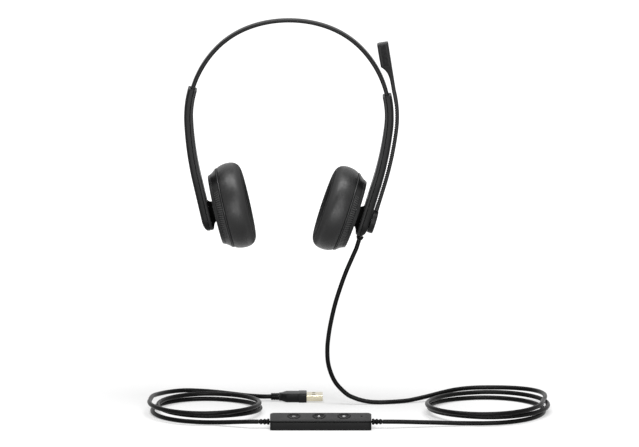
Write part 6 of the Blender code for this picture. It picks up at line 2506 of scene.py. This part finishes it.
@dataclass
class Studio:
    """Pale floor, soft lights and the photograph's camera."""

    sizes: Sizes

    ELEVATION = math.radians(12)
    DISTANCE = 14.0
    VIEW_WIDTH = 0.473
    AIM = Vector((22.6 * MM, 0, -152.3 * MM))
    SENSOR = 36.0
    CLIP_END = 50.0
    WHITE = (1.0, 1.0, 1.0, 1.0)
    AMBIENT = 0.12
    FLOOR_SIZE = 30.0
    FLOOR_PAINT = 0.24
    FLOOR_SHADE = 0.2
    FLOOR_GLOW = {"From Min": 0.25, "From Max": 0.9, "To Min": 0.49, "To Max": 0.99}
    LAMPS = (
        ("front", (0.0, -1.5, -0.12), (1.2, 0.3), 12.0),
        ("fill", (0.4, -1.4, 0.6), (0.5, 0.5), 6.5),
        ("top", (0.0, -0.15, 1.2), (1.5, 0.5), 26.0),
    )

    def make(self) -> None:
        """Makes the floor, the world, the lights and the camera."""
        bpy.context.scene.view_settings.view_transform = "Standard"
        self._camera()
        self._floor()
        self._world()
        self._lights()

    def _camera(self) -> None:
        """Sets the camera at the photograph's angle, with a long lens."""
        data = bpy.data.cameras.new("camera")
        data.sensor_width = self.SENSOR
        data.lens = self.SENSOR * self.DISTANCE / self.VIEW_WIDTH
        data.clip_end = self.CLIP_END
        camera = bpy.data.objects.new("camera", data)
        away = Vector((0, -math.cos(self.ELEVATION), math.sin(self.ELEVATION)))
        camera.location = self.AIM + away * self.DISTANCE
        camera.rotation_euler = (math.pi / 2 - self.ELEVATION, 0, 0)
        bpy.context.scene.collection.objects.link(camera)
        bpy.context.scene.camera = camera

    @staticmethod
    def _seen(hand: NodeTree) -> Socket:
        """One where a ray comes from the camera, a mirror or a glass.

        Args:
            hand: The material's nodes.

        Returns:
            The value.
        """
        path = hand.node("ShaderNodeLightPath").outputs
        seen = hand.maths("MAXIMUM", path["Is Camera Ray"], path["Is Glossy Ray"])
        return hand.maths("MAXIMUM", seen, path["Is Transmission Ray"])

    def _floor(self) -> None:
        """Makes a wide pale floor that keeps soft shadows and melts into the white behind."""
        bm = bmesh.new()
        bmesh.ops.create_grid(bm, x_segments=1, y_segments=1, size=self.FLOOR_SIZE)
        bmesh.ops.translate(bm, vec=(0, 0, self.sizes.cord.desk), verts=bm.verts)
        mesh = bpy.data.meshes.new("floor")
        bm.to_mesh(mesh)
        bm.free()
        floor = bpy.data.objects.new("floor", mesh)
        bpy.context.scene.collection.objects.link(floor)
        mesh.materials.append(self._floor_paint())

    def _floor_paint(self) -> Material:
        """The floor's material: paint that takes the shadows, and a glow that only eyes and mirrors see.

        Returns:
            The material.
        """
        made = bpy.data.materials.new("look_floor")
        made.use_nodes = True
        hand = NodeTree(made.node_tree)
        seen = self._seen(hand)
        shade = hand.maths("ADD", hand.maths("MULTIPLY", seen, self.FLOOR_SHADE), self.FLOOR_PAINT)
        paint = hand.feed(hand.node("ShaderNodeBsdfDiffuse"), {"Color": shade})
        distance = hand.feed(hand.node("ShaderNodeVectorMath", operation="LENGTH"), {0: hand.place()})
        level = hand.node("ShaderNodeMapRange", interpolation_type="SMOOTHSTEP")
        hand.feed(level, {**self.FLOOR_GLOW, "Value": distance.outputs["Value"]})
        strength = hand.maths("MULTIPLY", seen, level.outputs["Result"])
        glow = hand.feed(hand.node("ShaderNodeEmission"), {"Color": self.WHITE, "Strength": strength})
        both = hand.feed(hand.node("ShaderNodeAddShader"), {0: paint.outputs[0], 1: glow.outputs[0]})
        hand.feed(hand.node("ShaderNodeOutputMaterial"), {"Surface": both.outputs[0]})
        return made

    def _world(self) -> None:
        """Makes a white world for the camera and a dimmer one for the light that it gives."""
        world = bpy.data.worlds.new("studio")
        world.use_nodes = True
        hand = NodeTree(world.node_tree)
        strength = hand.maths("MAXIMUM", self._seen(hand), self.AMBIENT)
        sky = hand.feed(hand.node("ShaderNodeBackground"), {"Color": self.WHITE, "Strength": strength})
        hand.feed(hand.node("ShaderNodeOutputWorld"), {"Surface": sky.outputs[0]})
        bpy.context.scene.world = world

    def _lights(self) -> None:
        """Makes the soft front, fill and top lights, each a wide box."""
        for name, place, (width, height), energy in self.LAMPS:
            data = bpy.data.lights.new(name, "AREA")
            data.shape = "RECTANGLE"
            data.size = width
            data.size_y = height
            data.energy = energy
            lamp = bpy.data.objects.new(name, data)
            lamp.location = place
            lamp.rotation_euler = (self.AIM - Vector(place)).to_track_quat("-Z", "Y").to_euler()
            bpy.context.scene.collection.objects.link(lamp)


@dataclass
class Headset:
    """The whole dressed headset."""

    frame: dict

    ON_CORD = (
        *("controller_board", "minus_switch", "mute_switch", "plus_switch"),
        *("plug_tongue", "plug_contacts"),
    )

    def __post_init__(self) -> None:
        """Sets up the sizes, the guide lines and the stage."""
        self.sizes = Sizes()
        self.guide = Guide(self.sizes)
        self.stage = Stage(self.frame, Materials())

    def make(self) -> None:
        """Makes every piece on the frame."""
        self.stage.paint_nodes(self.frame["record"])
        kinds = (ControllerMaker, PlugMaker, CordMaker, HeadbandMaker, ArmMaker, CupMaker, BoomMaker)
        carried: list[Piece] = []
        for kind in kinds:
            maker = kind(self.sizes, self.guide, self.stage)
            if isinstance(maker, CordMaker):
                maker.carried = carried + [self.frame["nodes"][name] for name in self.ON_CORD]
            maker.make()
            if isinstance(maker, (ControllerMaker, PlugMaker)):
                carried += maker.pieces
            for piece in maker.pieces:
                LOG.info("%s done", piece.name)


def main() -> None:
    """Loads the frame, dresses it and lights it."""
    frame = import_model()
    headset = Headset(frame)
    Studio(headset.sizes).make()
    headset.make()


if __name__ == "__main__":
    main()
